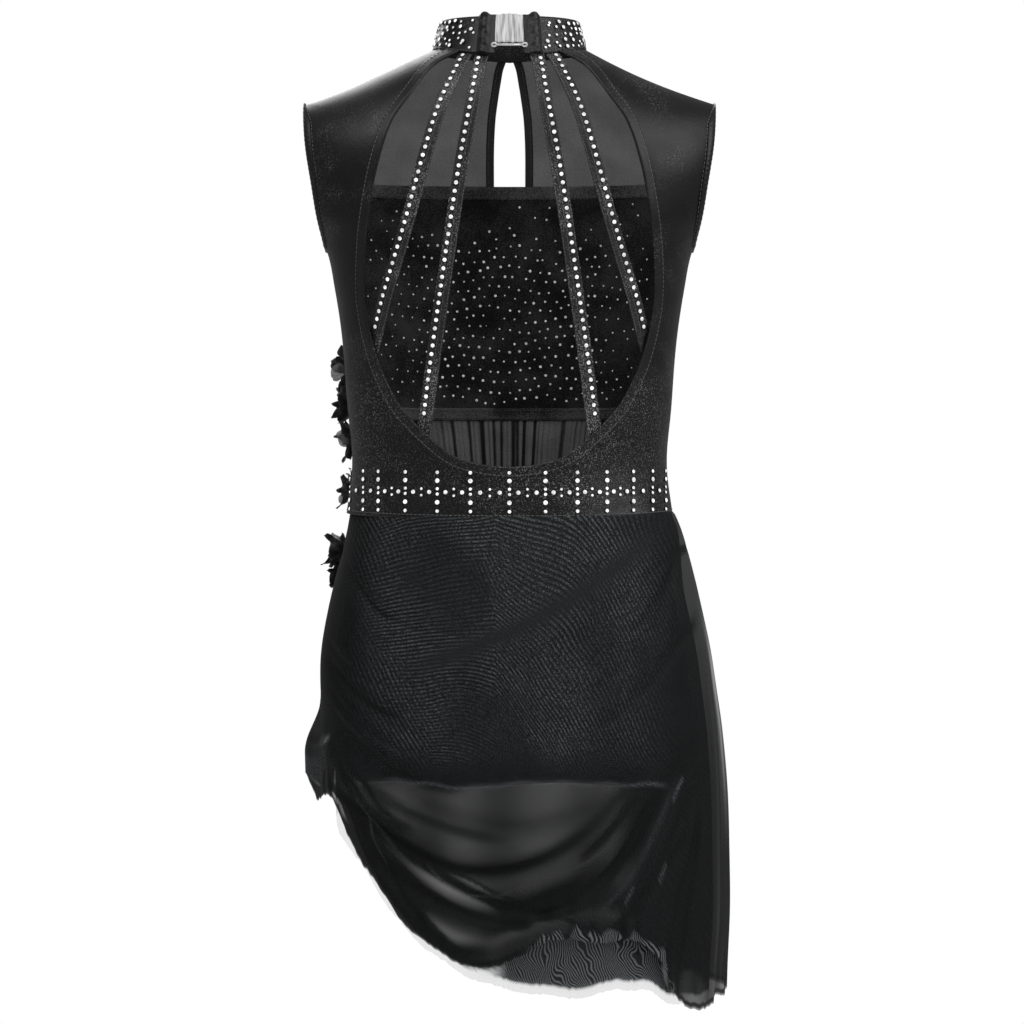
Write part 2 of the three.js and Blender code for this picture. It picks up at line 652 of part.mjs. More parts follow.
const collarAngle = (x) => Math.asin(x / NECK_HALF);
const gapAngle = collarAngle(GAP_HALF);
add(
  "collar",
  wallGeometry(34, 2, (u, v) => collarAt(mix(gapAngle, 2 * Math.PI - gapAngle, u), v), COLLAR),
  MATERIAL.knit,
);

// Folded casings over the collar's ends, puffed outwards, with a flap reaching the elastic.
const CASING_WALL = 1.2;
const CASING_PUFF = 1.8;
for (const [name, sign] of [["left", -1], ["right", 1]]) {
  const at = (u, v) => {
    const x = mix(CASING_OUT, CASING_IN, u);
    const puff = x > GAP_HALF - 1 ? Math.sin((Math.PI * (CASING_OUT - x)) / (CASING_OUT - GAP_HALF + 1)) : 0;
    const point = collarAt(sign * collarAngle(x), v);
    point.z += CASING_RISE * v * (0.4 + 0.6 * Math.max(0, puff));
    return { point, lift: CASING_WALL + SEAM + CASING_PUFF * Math.max(0, puff) };
  };
  add(`neck_casing_${name}`, wallGeometry(8, 2, at, CASING_WALL), MATERIAL.knit);
}

// The pale elastic, softly gathered, between the two flaps.
const ELASTIC_FOLDS = 4;
const elasticFoot = 0.3; // share of the collar's height where the elastic starts, above the bar
add(
  "neck_elastic",
  wallGeometry(
    16,
    2,
    (u, v) => ({
      point: collarAt(collarAngle(mix(-ELASTIC_HALF, ELASTIC_HALF, u)), mix(elasticFoot, 1, v)),
      lift: CASING_WALL + SEAM + 0.5 * Math.cos(2 * Math.PI * ELASTIC_FOLDS * u),
    }),
    CASING_WALL,
  ),
  MATERIAL.satin,
);

// ---------------------------------------------------------------- solids joined with manifold-3d
function toManifold(geometry) {
  const bare = new THREE.BufferGeometry();
  bare.setAttribute("position", geometry.getAttribute("position").clone());
  if (geometry.index) bare.setIndex(geometry.index.clone());
  const merged = mergeVertices(bare, 1e-4);
  return new wasm.Manifold(
    new wasm.Mesh({
      numProp: 3,
      vertProperties: merged.attributes.position.array,
      triVerts: new Uint32Array(merged.index.array),
    }),
  );
}

function fromManifold(solid) {
  const mesh = solid.getMesh();
  const geometry = new THREE.BufferGeometry();
  geometry.setAttribute("position", new THREE.BufferAttribute(new Float32Array(mesh.vertProperties), 3));
  geometry.setIndex(new THREE.BufferAttribute(new Uint32Array(mesh.triVerts), 1));
  geometry.computeVertexNormals();
  return geometry;
}

// The metal bar, a slim rod with a ring at each end, outside the flaps' feet.
const barBack = collarAt(collarAngle(BAR_HALF), 0.22).y - (CASING_WALL + SEAM) - BAR_GAP - BAR_RADIUS;
function barGeometry() {
  const rod = new THREE.CylinderGeometry(BAR_RADIUS, BAR_RADIUS, 2 * BAR_HALF, 8).rotateZ(Math.PI / 2);
  let solid = toManifold(rod);
  for (const sign of [-1, 1]) {
    const ring = new THREE.TorusGeometry(RING_RADIUS, RING_WIRE, 6, 10).translate(sign * BAR_HALF, 0, 0);
    solid = solid.add(toManifold(ring));
  }
  return fromManifold(solid).translate(0, barBack, BAR_HEIGHT);
}
add("neck_bar", barGeometry(), MATERIAL.metal);

// ---------------------------------------------------------------- skirt
// A layer of the skirt between two angles, from just below the waist seam down to its hem.
function skirtLayer(layer, from, to, columns, rows, hem) {
  const at = (u, v) => {
    const turn = mix(from, to, u);
    const top = waistHeight(turn) - 2 * SEAM;
    const made = skirtAt(layer, turn, mix(top, hem(turn), v));
    made.point.y += HALF_SEAM * (turn <= 90 && to <= 90 ? -1 : 1);
    return made;
  };
  return wallGeometry(columns, rows, at, TULLE);
}

add("skirt_outer_back", skirtLayer("outer", -90, 90, 38, 20, outerHem), MATERIAL.tulle);
add("skirt_outer_front", skirtLayer("outer", 90, 270, 26, 11, outerHem), MATERIAL.tulle);
add("skirt_inner_back", skirtLayer("inner", -90, 90, 26, 10, innerHem), MATERIAL.tulle);
add("skirt_inner_front", skirtLayer("inner", 90, 270, 20, 7, innerHem), MATERIAL.tulle);
const underskirtHem = (turn) => UNDERSKIRT_HEM + 1.5 * Math.sin(rad(turn * 7));
const underskirtHigh = (turn) => Math.max(underskirtHem(turn), outerHem(turn) + 8);
add("underskirt_back", skirtLayer("underskirt", -90, 90, 18, 5, underskirtHigh), MATERIAL.lining);
add("underskirt_front", skirtLayer("underskirt", 90, 270, 16, 4, underskirtHigh), MATERIAL.lining);

// ---------------------------------------------------------------- flowers
// One petal lying in the XY plane, its root at the origin and its tip along +X.
function petalGeometry(size) {
  const outline = new THREE.Shape();
  outline.moveTo(0, -0.12 * size);
  outline.bezierCurveTo(0.3 * size, -0.5 * size, 0.9 * size, -0.5 * size, size, -0.05 * size);
  outline.bezierCurveTo(0.95 * size, 0.45 * size, 0.3 * size, 0.5 * size, 0, 0.12 * size);
  return new THREE.ExtrudeGeometry(outline, { depth: PETAL_WALL, bevelEnabled: false, curveSegments: 2 });
}

function flowerGeometry(size, spin) {
  let solid = toManifold(new THREE.SphereGeometry(0.26 * size, 6, 4).translate(0, 0, 0.22 * size));
  for (let k = 0; k < PETALS; k += 1) {
    const petal = petalGeometry(size);
    petal.rotateY(-rad(PETAL_TILT + (k % 2 ? 14 : -6)));
    petal.rotateZ((2 * Math.PI * (k + spin)) / PETALS);
    solid = solid.add(toManifold(petal));
  }
  return fromManifold(solid);
}

FLOWERS.forEach(({ z, turn, size }, k) => {
  const onSkirt = z < WAIST;
  const place = (angle, height) => {
    if (!onSkirt) return bodyTurned(1, -rad(angle), height);
    const { point, lift } = skirtAt("outer", 180 + angle, height);
    return point.add(new THREE.Vector3(point.x, point.y, 0).normalize().multiplyScalar(lift));
  };
  const seat = place(turn, z);
  const along = place(turn + 4, z).sub(place(turn - 4, z));
  const up = place(turn, z + 5).sub(place(turn, z - 5));
  const out = along.cross(up).normalize();
  if (out.x > 0) out.negate();
  const lowest = 0.9; // keeps the petals' roots clear of the cloth that curves away beneath
  const geometry = flowerGeometry(size, 0.37 * k);
  geometry.applyQuaternion(new THREE.Quaternion().setFromUnitVectors(new THREE.Vector3(0, 0, 1), out));
  geometry.translate(...seat.addScaledVector(out, lowest));
  add(`flower_${k + 1}`, geometry, MATERIAL.petal);
});

export default dress;
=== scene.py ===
import logging
import math
from dataclasses import dataclass, field
from enum import Enum
from functools import partial
from typing import Callable

import bmesh
import bpy
import numpy as np
from mathutils import Matrix, Vector


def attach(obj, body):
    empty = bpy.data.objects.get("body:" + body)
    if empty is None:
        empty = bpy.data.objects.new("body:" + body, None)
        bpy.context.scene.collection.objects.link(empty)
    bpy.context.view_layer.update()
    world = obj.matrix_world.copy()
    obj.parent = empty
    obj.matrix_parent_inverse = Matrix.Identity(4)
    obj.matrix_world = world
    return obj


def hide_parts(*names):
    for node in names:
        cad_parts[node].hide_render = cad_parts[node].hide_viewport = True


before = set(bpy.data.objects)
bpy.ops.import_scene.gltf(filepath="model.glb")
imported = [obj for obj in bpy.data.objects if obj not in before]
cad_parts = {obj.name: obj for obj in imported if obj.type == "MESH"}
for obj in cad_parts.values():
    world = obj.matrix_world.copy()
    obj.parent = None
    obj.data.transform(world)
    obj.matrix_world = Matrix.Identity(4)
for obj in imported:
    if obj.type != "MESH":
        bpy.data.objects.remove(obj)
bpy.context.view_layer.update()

logging.basicConfig(level=logging.INFO, format="%(message)s")
LOG = logging.getLogger("dress")

Array = np.ndarray
Pairs = tuple[tuple[float, float], ...]
Colour = tuple[float, float, float, float]
Triple = tuple[float, float, float]
Surface = Callable[[Array, Array], Array]
Lift = Callable[["Patch"], Array]
MM = 0.001


class Side(Enum):
    """Which half of the body a surface belongs to."""

    BACK = -1
    FRONT = 1


class Hand(Enum):
    """The wearer's left and right, as seen from behind."""

    LEFT = -1
    RIGHT = 1


class Tier(Enum):
    """The layers of the skirt, from the outside in."""

    OUTER = 0
    INNER = 1
    LINING = 2


class Held(Enum):
    """How a sheet of cloth is held in the dress."""

    STRETCHED = "stretched"
    FOLDED = "folded"
    GATHERED = "gathered"
    HUNG = "hung"
    DRAPED = "draped"


# ---------------- numbers and curves
def ease(value: Array | float) -> Array:
    """A smooth step from 0 to 1."""
    held = np.clip(value, 0.0, 1.0)
    return held * held * (3 - 2 * held)


def mix(a: Array | float, b: Array | float, share: Array | float) -> Array:
    """The value a share of the way from a to b."""
    return a + (b - a) * share


def bulge(share: Array | float, power: float) -> Array:
    """A superellipse's height over its half width."""
    return np.maximum(0.0, 1 - np.minimum(1.0, np.abs(share)) ** power) ** (1 / power)


def spots(x: Array | float, y: Array | float, z: Array | float) -> Array:
    """Three coordinates as rows of points."""
    return np.stack(np.broadcast_arrays(x, y, z), axis=-1).astype(float)


def ripple(at: Array, seed: int, waves: int, low: float, high: float) -> Array:
    """A seeded sum of sines, about -1 to 1.

    Args:
        at: where it is read.
        seed: seed of its frequencies and phases.
        waves: number of sines.
        low: lowest frequency, in cycles for each unit of at.
        high: highest frequency.

    Returns:
        The sum at each place.
    """
    rng = np.random.default_rng(seed)
    total = np.zeros_like(at, dtype=float)
    for _ in range(waves):
        rate, phase, size = rng.uniform(low, high), rng.uniform(0, 2 * np.pi), rng.uniform(0.4, 1)
        total += size * np.sin(2 * np.pi * rate * at + phase)
    return total / (0.7 * waves) ** 0.5 / 1.4


@dataclass(frozen=True)
class Curve:
    """A smooth curve through the pairs of a table."""

    rows: Pairs

    def __call__(self, at: Array | float) -> Array:
        """Reads the curve.

        Args:
            at: the places, held inside the table.

        Returns:
            The values there.
        """
        places, values = np.array(sorted(self.rows)).T
        last = len(places) - 1
        before, after = np.maximum(np.arange(last + 1) - 1, 0), np.minimum(np.arange(last + 1) + 1, last)
        slopes = (values[after] - values[before]) / (places[after] - places[before])
        held = np.clip(at, places[0], places[-1])
        i = np.clip(np.searchsorted(places, held, side="left") - 1, 0, last - 1)
        gap = places[i + 1] - places[i]
        t = (held - places[i]) / gap
        bend = (1 - t) * t * gap
        straight = mix(values[i], values[i + 1], ease(t))
        return straight + bend * ((1 - t) * slopes[i] - t * slopes[i + 1])


# ---------------- the dress's forms
@dataclass(frozen=True)
class BodyForm:
    """The worn shape of the top."""

    half: Curve = Curve((
        (40, 168), (10, 167), (-27, 165), (-59, 161), (-88, 153), (-110, 144), (-131, 131.8),
        (-160, 125.3), (-189, 121), (-246, 116), (-285, 113.2), (-323, 117.5)))
    back: Curve = Curve((
        (40, 60), (10, 66), (-27, 74), (-59, 79), (-88, 82), (-110, 84), (-131, 84), (-160, 82),
        (-189, 79), (-246, 73), (-285, 70), (-323, 74)))
    front: Curve = Curve((
        (40, 62), (10, 68), (-27, 78), (-59, 88), (-88, 95), (-110, 99), (-131, 100), (-160, 98),
        (-189, 93), (-246, 84), (-285, 80), (-323, 82)))
    section_power: float = 2.3
    shoulder_power: float = 2.5
    shoulder_round: float = 80.0
    neck_half: float = 55.4
    neck_top: float = 11.5
    neck_dip: float = 9.0
    slope: float = 0.42
    shoulder_tip: float = 147.6
    sag: float = 2.6
    waist: float = -320.0
    waist_dip: float = 5.0

    def shoulder(self, x: Array | float) -> Array:
        """Height of the shoulder line at a width."""
        out = np.abs(x) - self.neck_half
        share = np.clip(out / (self.shoulder_tip - self.neck_half), 0.0, 1.0)
        return self.neck_top - self.slope * out - 4 * self.sag * share * (1 - share)

    def neck(self, side: Side, x: Array | float) -> Array:
        """Height of the neck seam at a width."""
        dip = self.neck_dip * (1 - np.minimum(1.0, np.abs(x) / self.neck_half) ** 2)
        return self.neck_top - dip * (side is Side.BACK)

    def waist_at(self, turn: Array | float) -> Array:
        """Height of the waist seam at an angle in degrees from centre back."""
        return self.waist - self.waist_dip * np.maximum(0.0, np.cos(np.radians(turn)))

    def at(self, side: Side, x: Array | float, z: Array | float) -> Array:
        """Points of the body at widths and heights.

        Args:
            side: back or front.
            x: widths from the middle.
            z: heights.

        Returns:
            The points.
        """
        depth = self.back(z) if side is Side.BACK else self.front(z)
        closing = np.clip((self.shoulder(x) - z) / self.shoulder_round, 0.0, 1.0)
        over = bulge(1 - closing, self.shoulder_power)
        y = side.value * (depth * bulge(x / self.half(z), self.section_power) * over)
        return spots(x, y, z)

    def turned(self, side: Side, angle: Array | float, z: Array | float) -> Array:
        """Points of the body at angles from the middle of a side."""
        return self.at(side, self.half(z) * np.sin(angle), z)

    def angle_of(self, x: Array | float, z: Array | float) -> Array:
        """The angle at which the body is as wide as x."""
        return np.arcsin(np.clip(x / self.half(z), -1.0, 1.0))


@dataclass(frozen=True)
class OvalEdge:
    """The edge of the open back, by the share of its length from the neck seam to its lowest point."""

    knots: Pairs = ((36, 6.3), (54, -4), (70, -26), (83, -46), (92, -74), (98, -104), (102, -137),
                    (102, -173), (95, -207), (85, -232), (72, -252), (44, -278), (22, -286.5), (0, -289))

    def trail(self) -> tuple[Array, Array]:
        """The edge as many points.

        Returns:
            The points, and the share of the length at each.
        """
        knots = np.array(self.knots, dtype=float)
        steps = np.linspace(0, len(knots) - 1, 1400)
        i = np.minimum(steps.astype(int), len(knots) - 2)
        t = (steps - i)[:, None]
        p0, p1 = knots[np.maximum(i - 1, 0)], knots[i]
        p2, p3 = knots[i + 1], knots[np.minimum(i + 2, len(knots) - 1)]
        v0, v1 = (p2 - p0) / 2, (p3 - p1) / 2
        line = (2 * p1 - 2 * p2 + v0 + v1) * t**3 + (-3 * p1 + 3 * p2 - 2 * v0 - v1) * t**2 + v0 * t + p1
        length = np.concatenate([[0.0], np.cumsum(np.linalg.norm(np.diff(line, axis=0), axis=1))])
        return line, length / length[-1]

    def __call__(self, share: Array) -> tuple[Array, Array]:
        """Widths and heights of the edge at shares of its length."""
        line, shares = self.trail()
        return np.interp(share, shares, line[:, 0]), np.interp(share, shares, line[:, 1])

    def beside(self, along: Array, away: Array) -> tuple[Array, Array]:
        """Places at a distance outside the edge.

        Args:
            along: -1 at the left neck seam, 0 at the lowest point, 1 at the right neck seam.
            away: the distance outside the edge.

        Returns:
            Their widths and heights.
        """
        share = 1 - np.abs(along)
        x, z = self(share)
        ax, az = self(np.clip(share + 0.004, 0, 1))
        bx, bz = self(np.clip(share - 0.004, 0, 1))
        dx, dz = ax - bx, az - bz
        size = np.hypot(dx, dz)
        out = x - dz / size * away, z + dx / size * away
        return np.where(along < 0, -out[0], out[0]), out[1]


@dataclass(frozen=True)
class FrontEdge:
    """The edge of the front opening that the yoke, bust panel and midriff fill."""

    width: Curve = Curve((
        (12, 51.5), (4, 60), (-4, 69), (-26, 86.5), (-46, 97.5), (-74, 106), (-104, 111), (-137, 113),
        (-173, 112), (-207, 106), (-250, 99), (-290, 96)))
    head: float = 11.5
    foot: float = -288.5
    side_share: float = 0.76

    def __call__(self, share: Array) -> tuple[Array, Array]:
        """Widths and heights of the edge at shares of its length.

        Args:
            share: 0 at the neck seam to 1 at the middle of its lower edge.

        Returns:
            The widths and the heights.
        """
        down = np.minimum(share / self.side_share, 1.0)
        z = mix(self.head, self.foot, down)
        across = np.clip((share - self.side_share) / (1 - self.side_share), 0.0, 1.0)
        return self.width(z) * (1 - across), z


@dataclass(frozen=True)
class PanelForm:
    """A knit panel, a frame round an opening whose ribs run out to the shoulder, armhole, side and waist.

    Ribs are numbered from the neck seam; corners holds those at the shoulder tip, underarm, waist and middle.
    """

    body: BodyForm
    side: Side
    edge: OvalEdge | FrontEdge
    until: Triple
    armhole: Curve = Curve(((-27.2, 147.6), (-59, 144.7), (-88, 140), (-110, 136.5), (-131, 131.8)))
    tip: float = 147.6
    underarm: float = -131.0
    corners: tuple[float, float, float, float] = (4.0, 11.0, 17.0, 23.0)

    def outer(self, rib: Array) -> tuple[Array, Array]:
        """Angles and heights of the panel's outer edge at each rib.

        Args:
            rib: numbers of ribs, whole or not.

        Returns:
            The angles and the heights.
        """
        body = self.body
        tip, pit, waist, middle = self.corners
        x = mix(body.neck_half, self.tip, rib / tip)
        shoulder_z = body.shoulder(x)
        arm_z = mix(body.shoulder(self.tip), self.underarm, (rib - tip) / (pit - tip))
        side_z = mix(self.underarm, body.waist, (rib - pit) / (waist - pit))
        turn = mix(90.0, 0.0, (rib - waist) / (middle - waist))
        waist_z = body.waist_at(turn if self.side is Side.BACK else 180 - turn)
        parts = [rib < tip, rib < pit, rib < waist]
        angle = np.select(parts, [body.angle_of(x, shoulder_z), body.angle_of(self.armhole(arm_z), arm_z),
                                  np.full_like(rib, np.pi / 2)], np.radians(turn))
        return angle, np.select(parts, [shoulder_z, arm_z, side_z], waist_z)

    def at(self, rib: Array, share: Array, hand: Array | float = 1.0) -> Array:
        """Points of the panel.

        Args:
            rib: from 0 at the neck seam to the last corner at the middle of the waist.
            share: 0 at the opening to 1 at the outer edge.
            hand: 1 on the right and -1 on the left.

        Returns:
            The points.
        """
        x, z = self.edge(np.interp(rib, (0.0, *self.corners), (0.0, *self.until, 1.0)))
        start = self.body.angle_of(x, z)
        end, end_z = self.outer(rib)
        reach = mix(share, np.sin(share * np.pi / 2), np.clip(5 - rib, 0, 1))
        angle, height = mix(start, end, reach), mix(z, end_z, reach)
        wide = self.body.half(height) * np.sin(angle)
        seam = np.minimum(self.body.neck(self.side, wide), self.body.shoulder(wide))
        height = mix(height, seam, np.clip(1 - rib, 0, 1) * ease(share / 0.12))
        return self.body.turned(self.side, hand * angle, height)

    def grid(self, u: Array, v: Array) -> Array:
        """Points of the whole panel from its right neck end round to its left one."""
        rib = self.corners[-1] * (1 - np.abs(2 * u - 1))
        return self.at(rib, v, np.where(u <= 0.5, 1.0, -1.0))


@dataclass(frozen=True)
class Fold:
    """A soft trough or ridge across the back of the skirt, between two ends, sagging below their line."""

    x0: float
    z0: float
    x1: float
    z1: float
    sag: float
    width: float
    depth: float
    shade: float = 0.0

    def weight(self, x: Array, z: Array) -> Array:
        """How much of the fold is at each place.

        Args:
            x: widths of the places.
            z: their heights.

        Returns:
            Shares from 0 to 1.
        """
        s = (x - self.x0) / (self.x1 - self.x0)
        line = mix(self.z0, self.z1, s) - 4 * self.sag * s * (1 - s)
        rise = (self.z1 - self.z0 - 4 * self.sag * (1 - 2 * s)) / (self.x1 - self.x0)
        away = (z - line) / np.hypot(1.0, rise) / self.width
        fade = ease((s + 0.1) / 0.25) * ease((1.1 - s) / 0.25)
        return fade * np.exp(-away * away)


@dataclass(frozen=True)
class Flute:
    """A hanging fold down the skirt, by the angle at its top and at its foot."""

    top: float
    foot: float
    z0: float
    z1: float
    width: float
    depth: float

    def weight(self, turn: Array, z: Array) -> Array:
        """How much of the fold is at each place.

        Args:
            turn: angles of the places.
            z: their heights.

        Returns:
            Shares from 0 to 1.
        """
        s = np.maximum((self.z0 - z) / (self.z0 - self.z1), 0.0)
        middle = mix(self.top, self.foot, np.minimum(1.0, s))
        away = (np.where(turn < -60, turn + 360, turn) - middle) / self.width
        return ease(s * 1.6) * np.exp(-away * away)


# The large swags across the back and the folds that hang down all round, as the solids have them.
SWAGS = tuple(Fold(*row) for row in (
    (-122, -351, -80, -396, 7, 7, -2.5), (-68, -438, 104, -345, 14, 13, 3), (8, -440, 92, -362, 8, 7, -2.5),
    (50, -452, 112, -384, 8, 7, -3), (-131, -424, -58, -478, 7, 7, -3), (-131, -467, 91, -506, 49, 8, -5),
    (-128, -486, 98, -514, 54, 11, 4), (-116, -522, 98, -520, 46, 8, -4.5),
    (-114, -543, 118, -522, 62, 8, -5), (-112, -557, -40, -632, 14, 7, -3),
    (-45, -628, 127, -494, 22, 8, -5),
))
FLUTES = tuple(Flute(*row) for row in (
    (62, 50, -330, -560, 5, -3), (70, 64, -330, -680, 5, 3), (80, 77, -370, -680, 5, -3),
    (98, 96, -340, -680, 7, 4), (115, 117, -360, -680, 7, -4), (134, 138, -340, -680, 8, 4),
    (155, 160, -380, -680, 8, -4), (182, 184, -350, -680, 9, 5), (208, 205, -370, -640, 7, -4),
    (232, 228, -350, -600, 7, 4), (263, 260, -450, -520, 9, 15),
))

# Smaller creases of the outer tulle, with how much painted shade and closeness the bunched cloth gets in
# each.
CREASES = tuple(Fold(*row) for row in (
    (-112, -506, -4, -546, 8, 3.6, -2, 0.5), (-116, -520, 88, -508, 54, 4.6, -2.4, 0.6),
    (-118, -521, 8, -595, 9, 3.2, -2, 0.9), (7, -595, 112, -506, 32, 3.6, -2.4, 0.9),
    (-118, -522, -58, -616, 22, 3, -1.6, 0.7), (-115, -520, -36, -626, 13, 3, -1.6, 0.8),
    (-60, -585, 14, -605, 6, 3, -1.5, 0.7), (-128, -478, -70, -540, 14, 3, -1.8, 0.7),
    (-100, -500, 60, -500, 34, 6, 1.6, 0), (-90, -540, 66, -528, 46, 6, 1.8, 0),
    (72, -616, 134, -510, 7, 3, -1.8, 0.7), (91, -589, 125, -548, 3, 2.6, -1.5, 0.5),
    (110, -634, 134, -540, 3, 2.6, -1.8, 0.6), (44, -606, 104, -530, 14, 3, 1.6, 0),
    (50, -560, 92, -512, 5, 3, -1.6, 0.6), (118, -640, 134, -540, 1, 2.4, -1.6, 0.7),
    (-120, -350, -84, -394, 8, 2, -1.6, 0.9), (-84, -394, -60, -402, 2, 2, -1, 0.5),
    (-128, -428, -76, -461, 9, 3.2, -1.8, 0.8), (-125, -461, -31, -510, 15, 4, -1.8, 0.7),
    (-127, -446, -60, -486, 10, 3, -1.3, 0.6), (-131, -410, -88, -440, 6, 3, -1.4, 0.6),
    (60, -470, 130, -400, 8, 4, -1.5, 0.6), (92, -372, 128, -345, -4, 2.4, -1.6, 0.8),
    (84, -404, 120, -352, 7, 2.6, -1.8, 0.9), (100, -420, 120, -340, 2, 3, -1.5, 0.5),
    (-60, -440, 108, -343, 13, 2.2, -0.7, 0.4),
))

# The fold whose doubled net is smooth, without watered lines, and along which a lighter sheen is painted.
SHEEN = Fold(-68, -427, 104, -335, 13, 7, 0)

# Short bright touches where a crease of the outer tulle catches the light.
GLEAMS = tuple(Fold(*row) for row in (
    (117, -522, 125, -506, -0.5, 0.7, 0, 0.7), (105, -577, 111, -565, -0.5, 0.7, 0, 0.6),
    (80, -591, 87, -579, -0.5, 0.7, 0, 0.55), (-104, -530, -48, -574, 6, 0.7, 0, 0.25),
    (-56, -566, 0, -582, 10, 0.7, 0, 0.3), (44, -566, 74, -548, 2, 0.8, 0, 0.25),
    (-108, -517, -88, -566, 3, 0.7, 0, 0.25), (62, -596, 118, -512, 10, 1.6, 0, 0.16),
))


@dataclass(frozen=True)
class SkirtForm:
    """The worn shape of the skirt and its layers."""

    body: BodyForm
    left: Curve = Curve((
        (-318, 114), (-334, 117), (-362, 124), (-390, 130.5), (-419, 135.5), (-448, 136), (-477, 135.5),
        (-520, 135), (-563, 133), (-606, 132), (-650, 131), (-680, 130)))
    right: Curve = Curve((
        (-318, 117.5), (-334, 124), (-362, 132), (-390, 138.5), (-419, 144.5), (-448, 148.5), (-477, 152),
        (-520, 155), (-563, 156), (-606, 156.3), (-650, 154), (-680, 153)))
    back: Curve = Curve((
        (-318, 75), (-334, 78), (-362, 84), (-390, 91), (-419, 96), (-448, 99), (-477, 101), (-520, 103),
        (-563, 105), (-606, 106), (-650, 106), (-680, 106)))
    front: Curve = Curve((
        (-318, 82), (-334, 84), (-362, 87), (-390, 90), (-419, 93), (-448, 95), (-477, 97), (-520, 98),
        (-563, 99), (-606, 99), (-650, 98), (-680, 97)))
    outer_hem: Curve = Curve((
        (-90, -526), (-73, -521), (-64, -532), (-57, -553), (-52, -566), (-46, -580), (-40, -593),
        (-33, -607), (-26, -619), (-16, -631), (-6, -634), (3, -625), (9, -618), (16, -616), (30, -617),
        (40, -625), (45, -636), (49, -656), (55, -668), (72, -664), (90, -664), (130, -652), (180, -612),
        (225, -556), (252, -522), (262, -509), (270, -526)))
    inner_hem: Curve = Curve((
        (-90, -541), (-73, -552), (-64, -561), (-57, -569), (-52, -577), (-46, -588), (-40, -600),
        (-33, -614), (-26, -626), (-16, -639), (-6, -647), (3, -652), (9, -655), (16, -656), (30, -652),
        (40, -654), (45, -660), (49, -664), (55, -665), (72, -668), (90, -668), (130, -658), (180, -622),
        (225, -568), (252, -540), (262, -535), (270, -541)))
    lining_hem: float = -509.0
    layer_step: float = 2.0
    drops: Triple = (0.0, 10.0, 18.0)
    spread: float = 60.0
    deepest: float = -6.0

    def at(self, turn: Array, z: Array) -> Array:
        """Points of the plain form.

        Args:
            turn: angles in degrees from centre back.
            z: heights.

        Returns:
            The points.
        """
        angle = np.radians(turn)
        sine, behind = np.sin(angle), np.cos(angle) > 0
        x = np.where(sine < 0, self.left(z), self.right(z)) * sine
        depth = np.where(behind, self.back(z), self.front(z))
        y = np.where(behind, -1, 1) * depth * bulge(sine, self.body.section_power)
        return spots(x, y, z)

    def behind(self, turn: Array) -> Array:
        """1 on the back of the skirt, fading to 0 just past the sides."""
        return ease((96 - np.abs(turn)) / 12)

    def folds(self, turn: Array, x: Array, z: Array) -> Array:
        """Lift of the cloth by its large folds."""
        lift = self.behind(turn) * sum(fold.depth * fold.weight(x, z) for fold in SWAGS)
        lift = lift + sum(flute.depth * flute.weight(turn, z) for flute in FLUTES)
        return np.maximum(self.deepest, lift)

    def lining_edge(self, turn: Array) -> Array:
        """Height of the underskirt's hem, never below the outer one."""
        wavy = self.lining_hem + 1.5 * np.sin(np.radians(turn * 7))
        return np.maximum(wavy, self.outer_hem(turn) + 8)

    def below(self, turn: Array, z: Array) -> Array:
        """How far below the waist seam a place is, 0 at the seam and 1 where the layers hang free."""
        return ease((self.body.waist_at(turn) - z) / self.spread)

    def inset(self, tier: Tier, turn: Array, z: Array) -> Array:
        """How far inside the plain form a layer's face lies."""
        return mix(tier.value * self.layer_step, self.drops[tier.value], self.below(turn, z))


# ---------------- shader graphs
class Signal:
    """An output socket of a shader graph that takes part in sums and products."""

    def __init__(self, graph: "Graph", socket: bpy.types.NodeSocket) -> None:
        """Wraps a socket of a graph."""
        self.graph, self.socket = graph, socket

    def math(self, operation: str, *others: "Signal | float", first: float | None = None) -> "Signal":
        """Adds a Math node."""
        values = ([] if first is None else [first]) + [self, *others]
        return self.graph.node("ShaderNodeMath", {"operation": operation}, dict(enumerate(values)))

    def __add__(self, other: "Signal | float") -> "Signal":
        """The sum."""
        return self.math("ADD", other)

    __radd__ = __add__

    def __sub__(self, other: "Signal | float") -> "Signal":
        """The difference."""
        return self.math("SUBTRACT", other)

    def __rsub__(self, other: float) -> "Signal":
        """The difference, turned round."""
        return self.math("SUBTRACT", first=other)

    def __mul__(self, other: "Signal | float") -> "Signal":
        """The product."""
        return self.math("MULTIPLY", other)

    __rmul__ = __mul__

    def __pow__(self, other: float) -> "Signal":
        """The power."""
        return self.math("POWER", other)

    def wave(self) -> "Signal":
        """A wave from 0 to 1 that repeats with each whole number."""
        return (self * (2 * math.pi)).math("SINE") * 0.5 + 0.5

    def step(self, low: float, high: float) -> "Signal":
        """A smooth step from 0 at low to 1 at high."""
        values = {"Value": self, "From Min": low, "From Max": high}
        return self.graph.node("ShaderNodeMapRange", {"interpolation_type": "SMOOTHSTEP"}, values)

    def held(self) -> "Signal":
        """The signal kept between 0 and 1."""
        return self.math("MINIMUM", 1.0).math("MAXIMUM", 0.0)


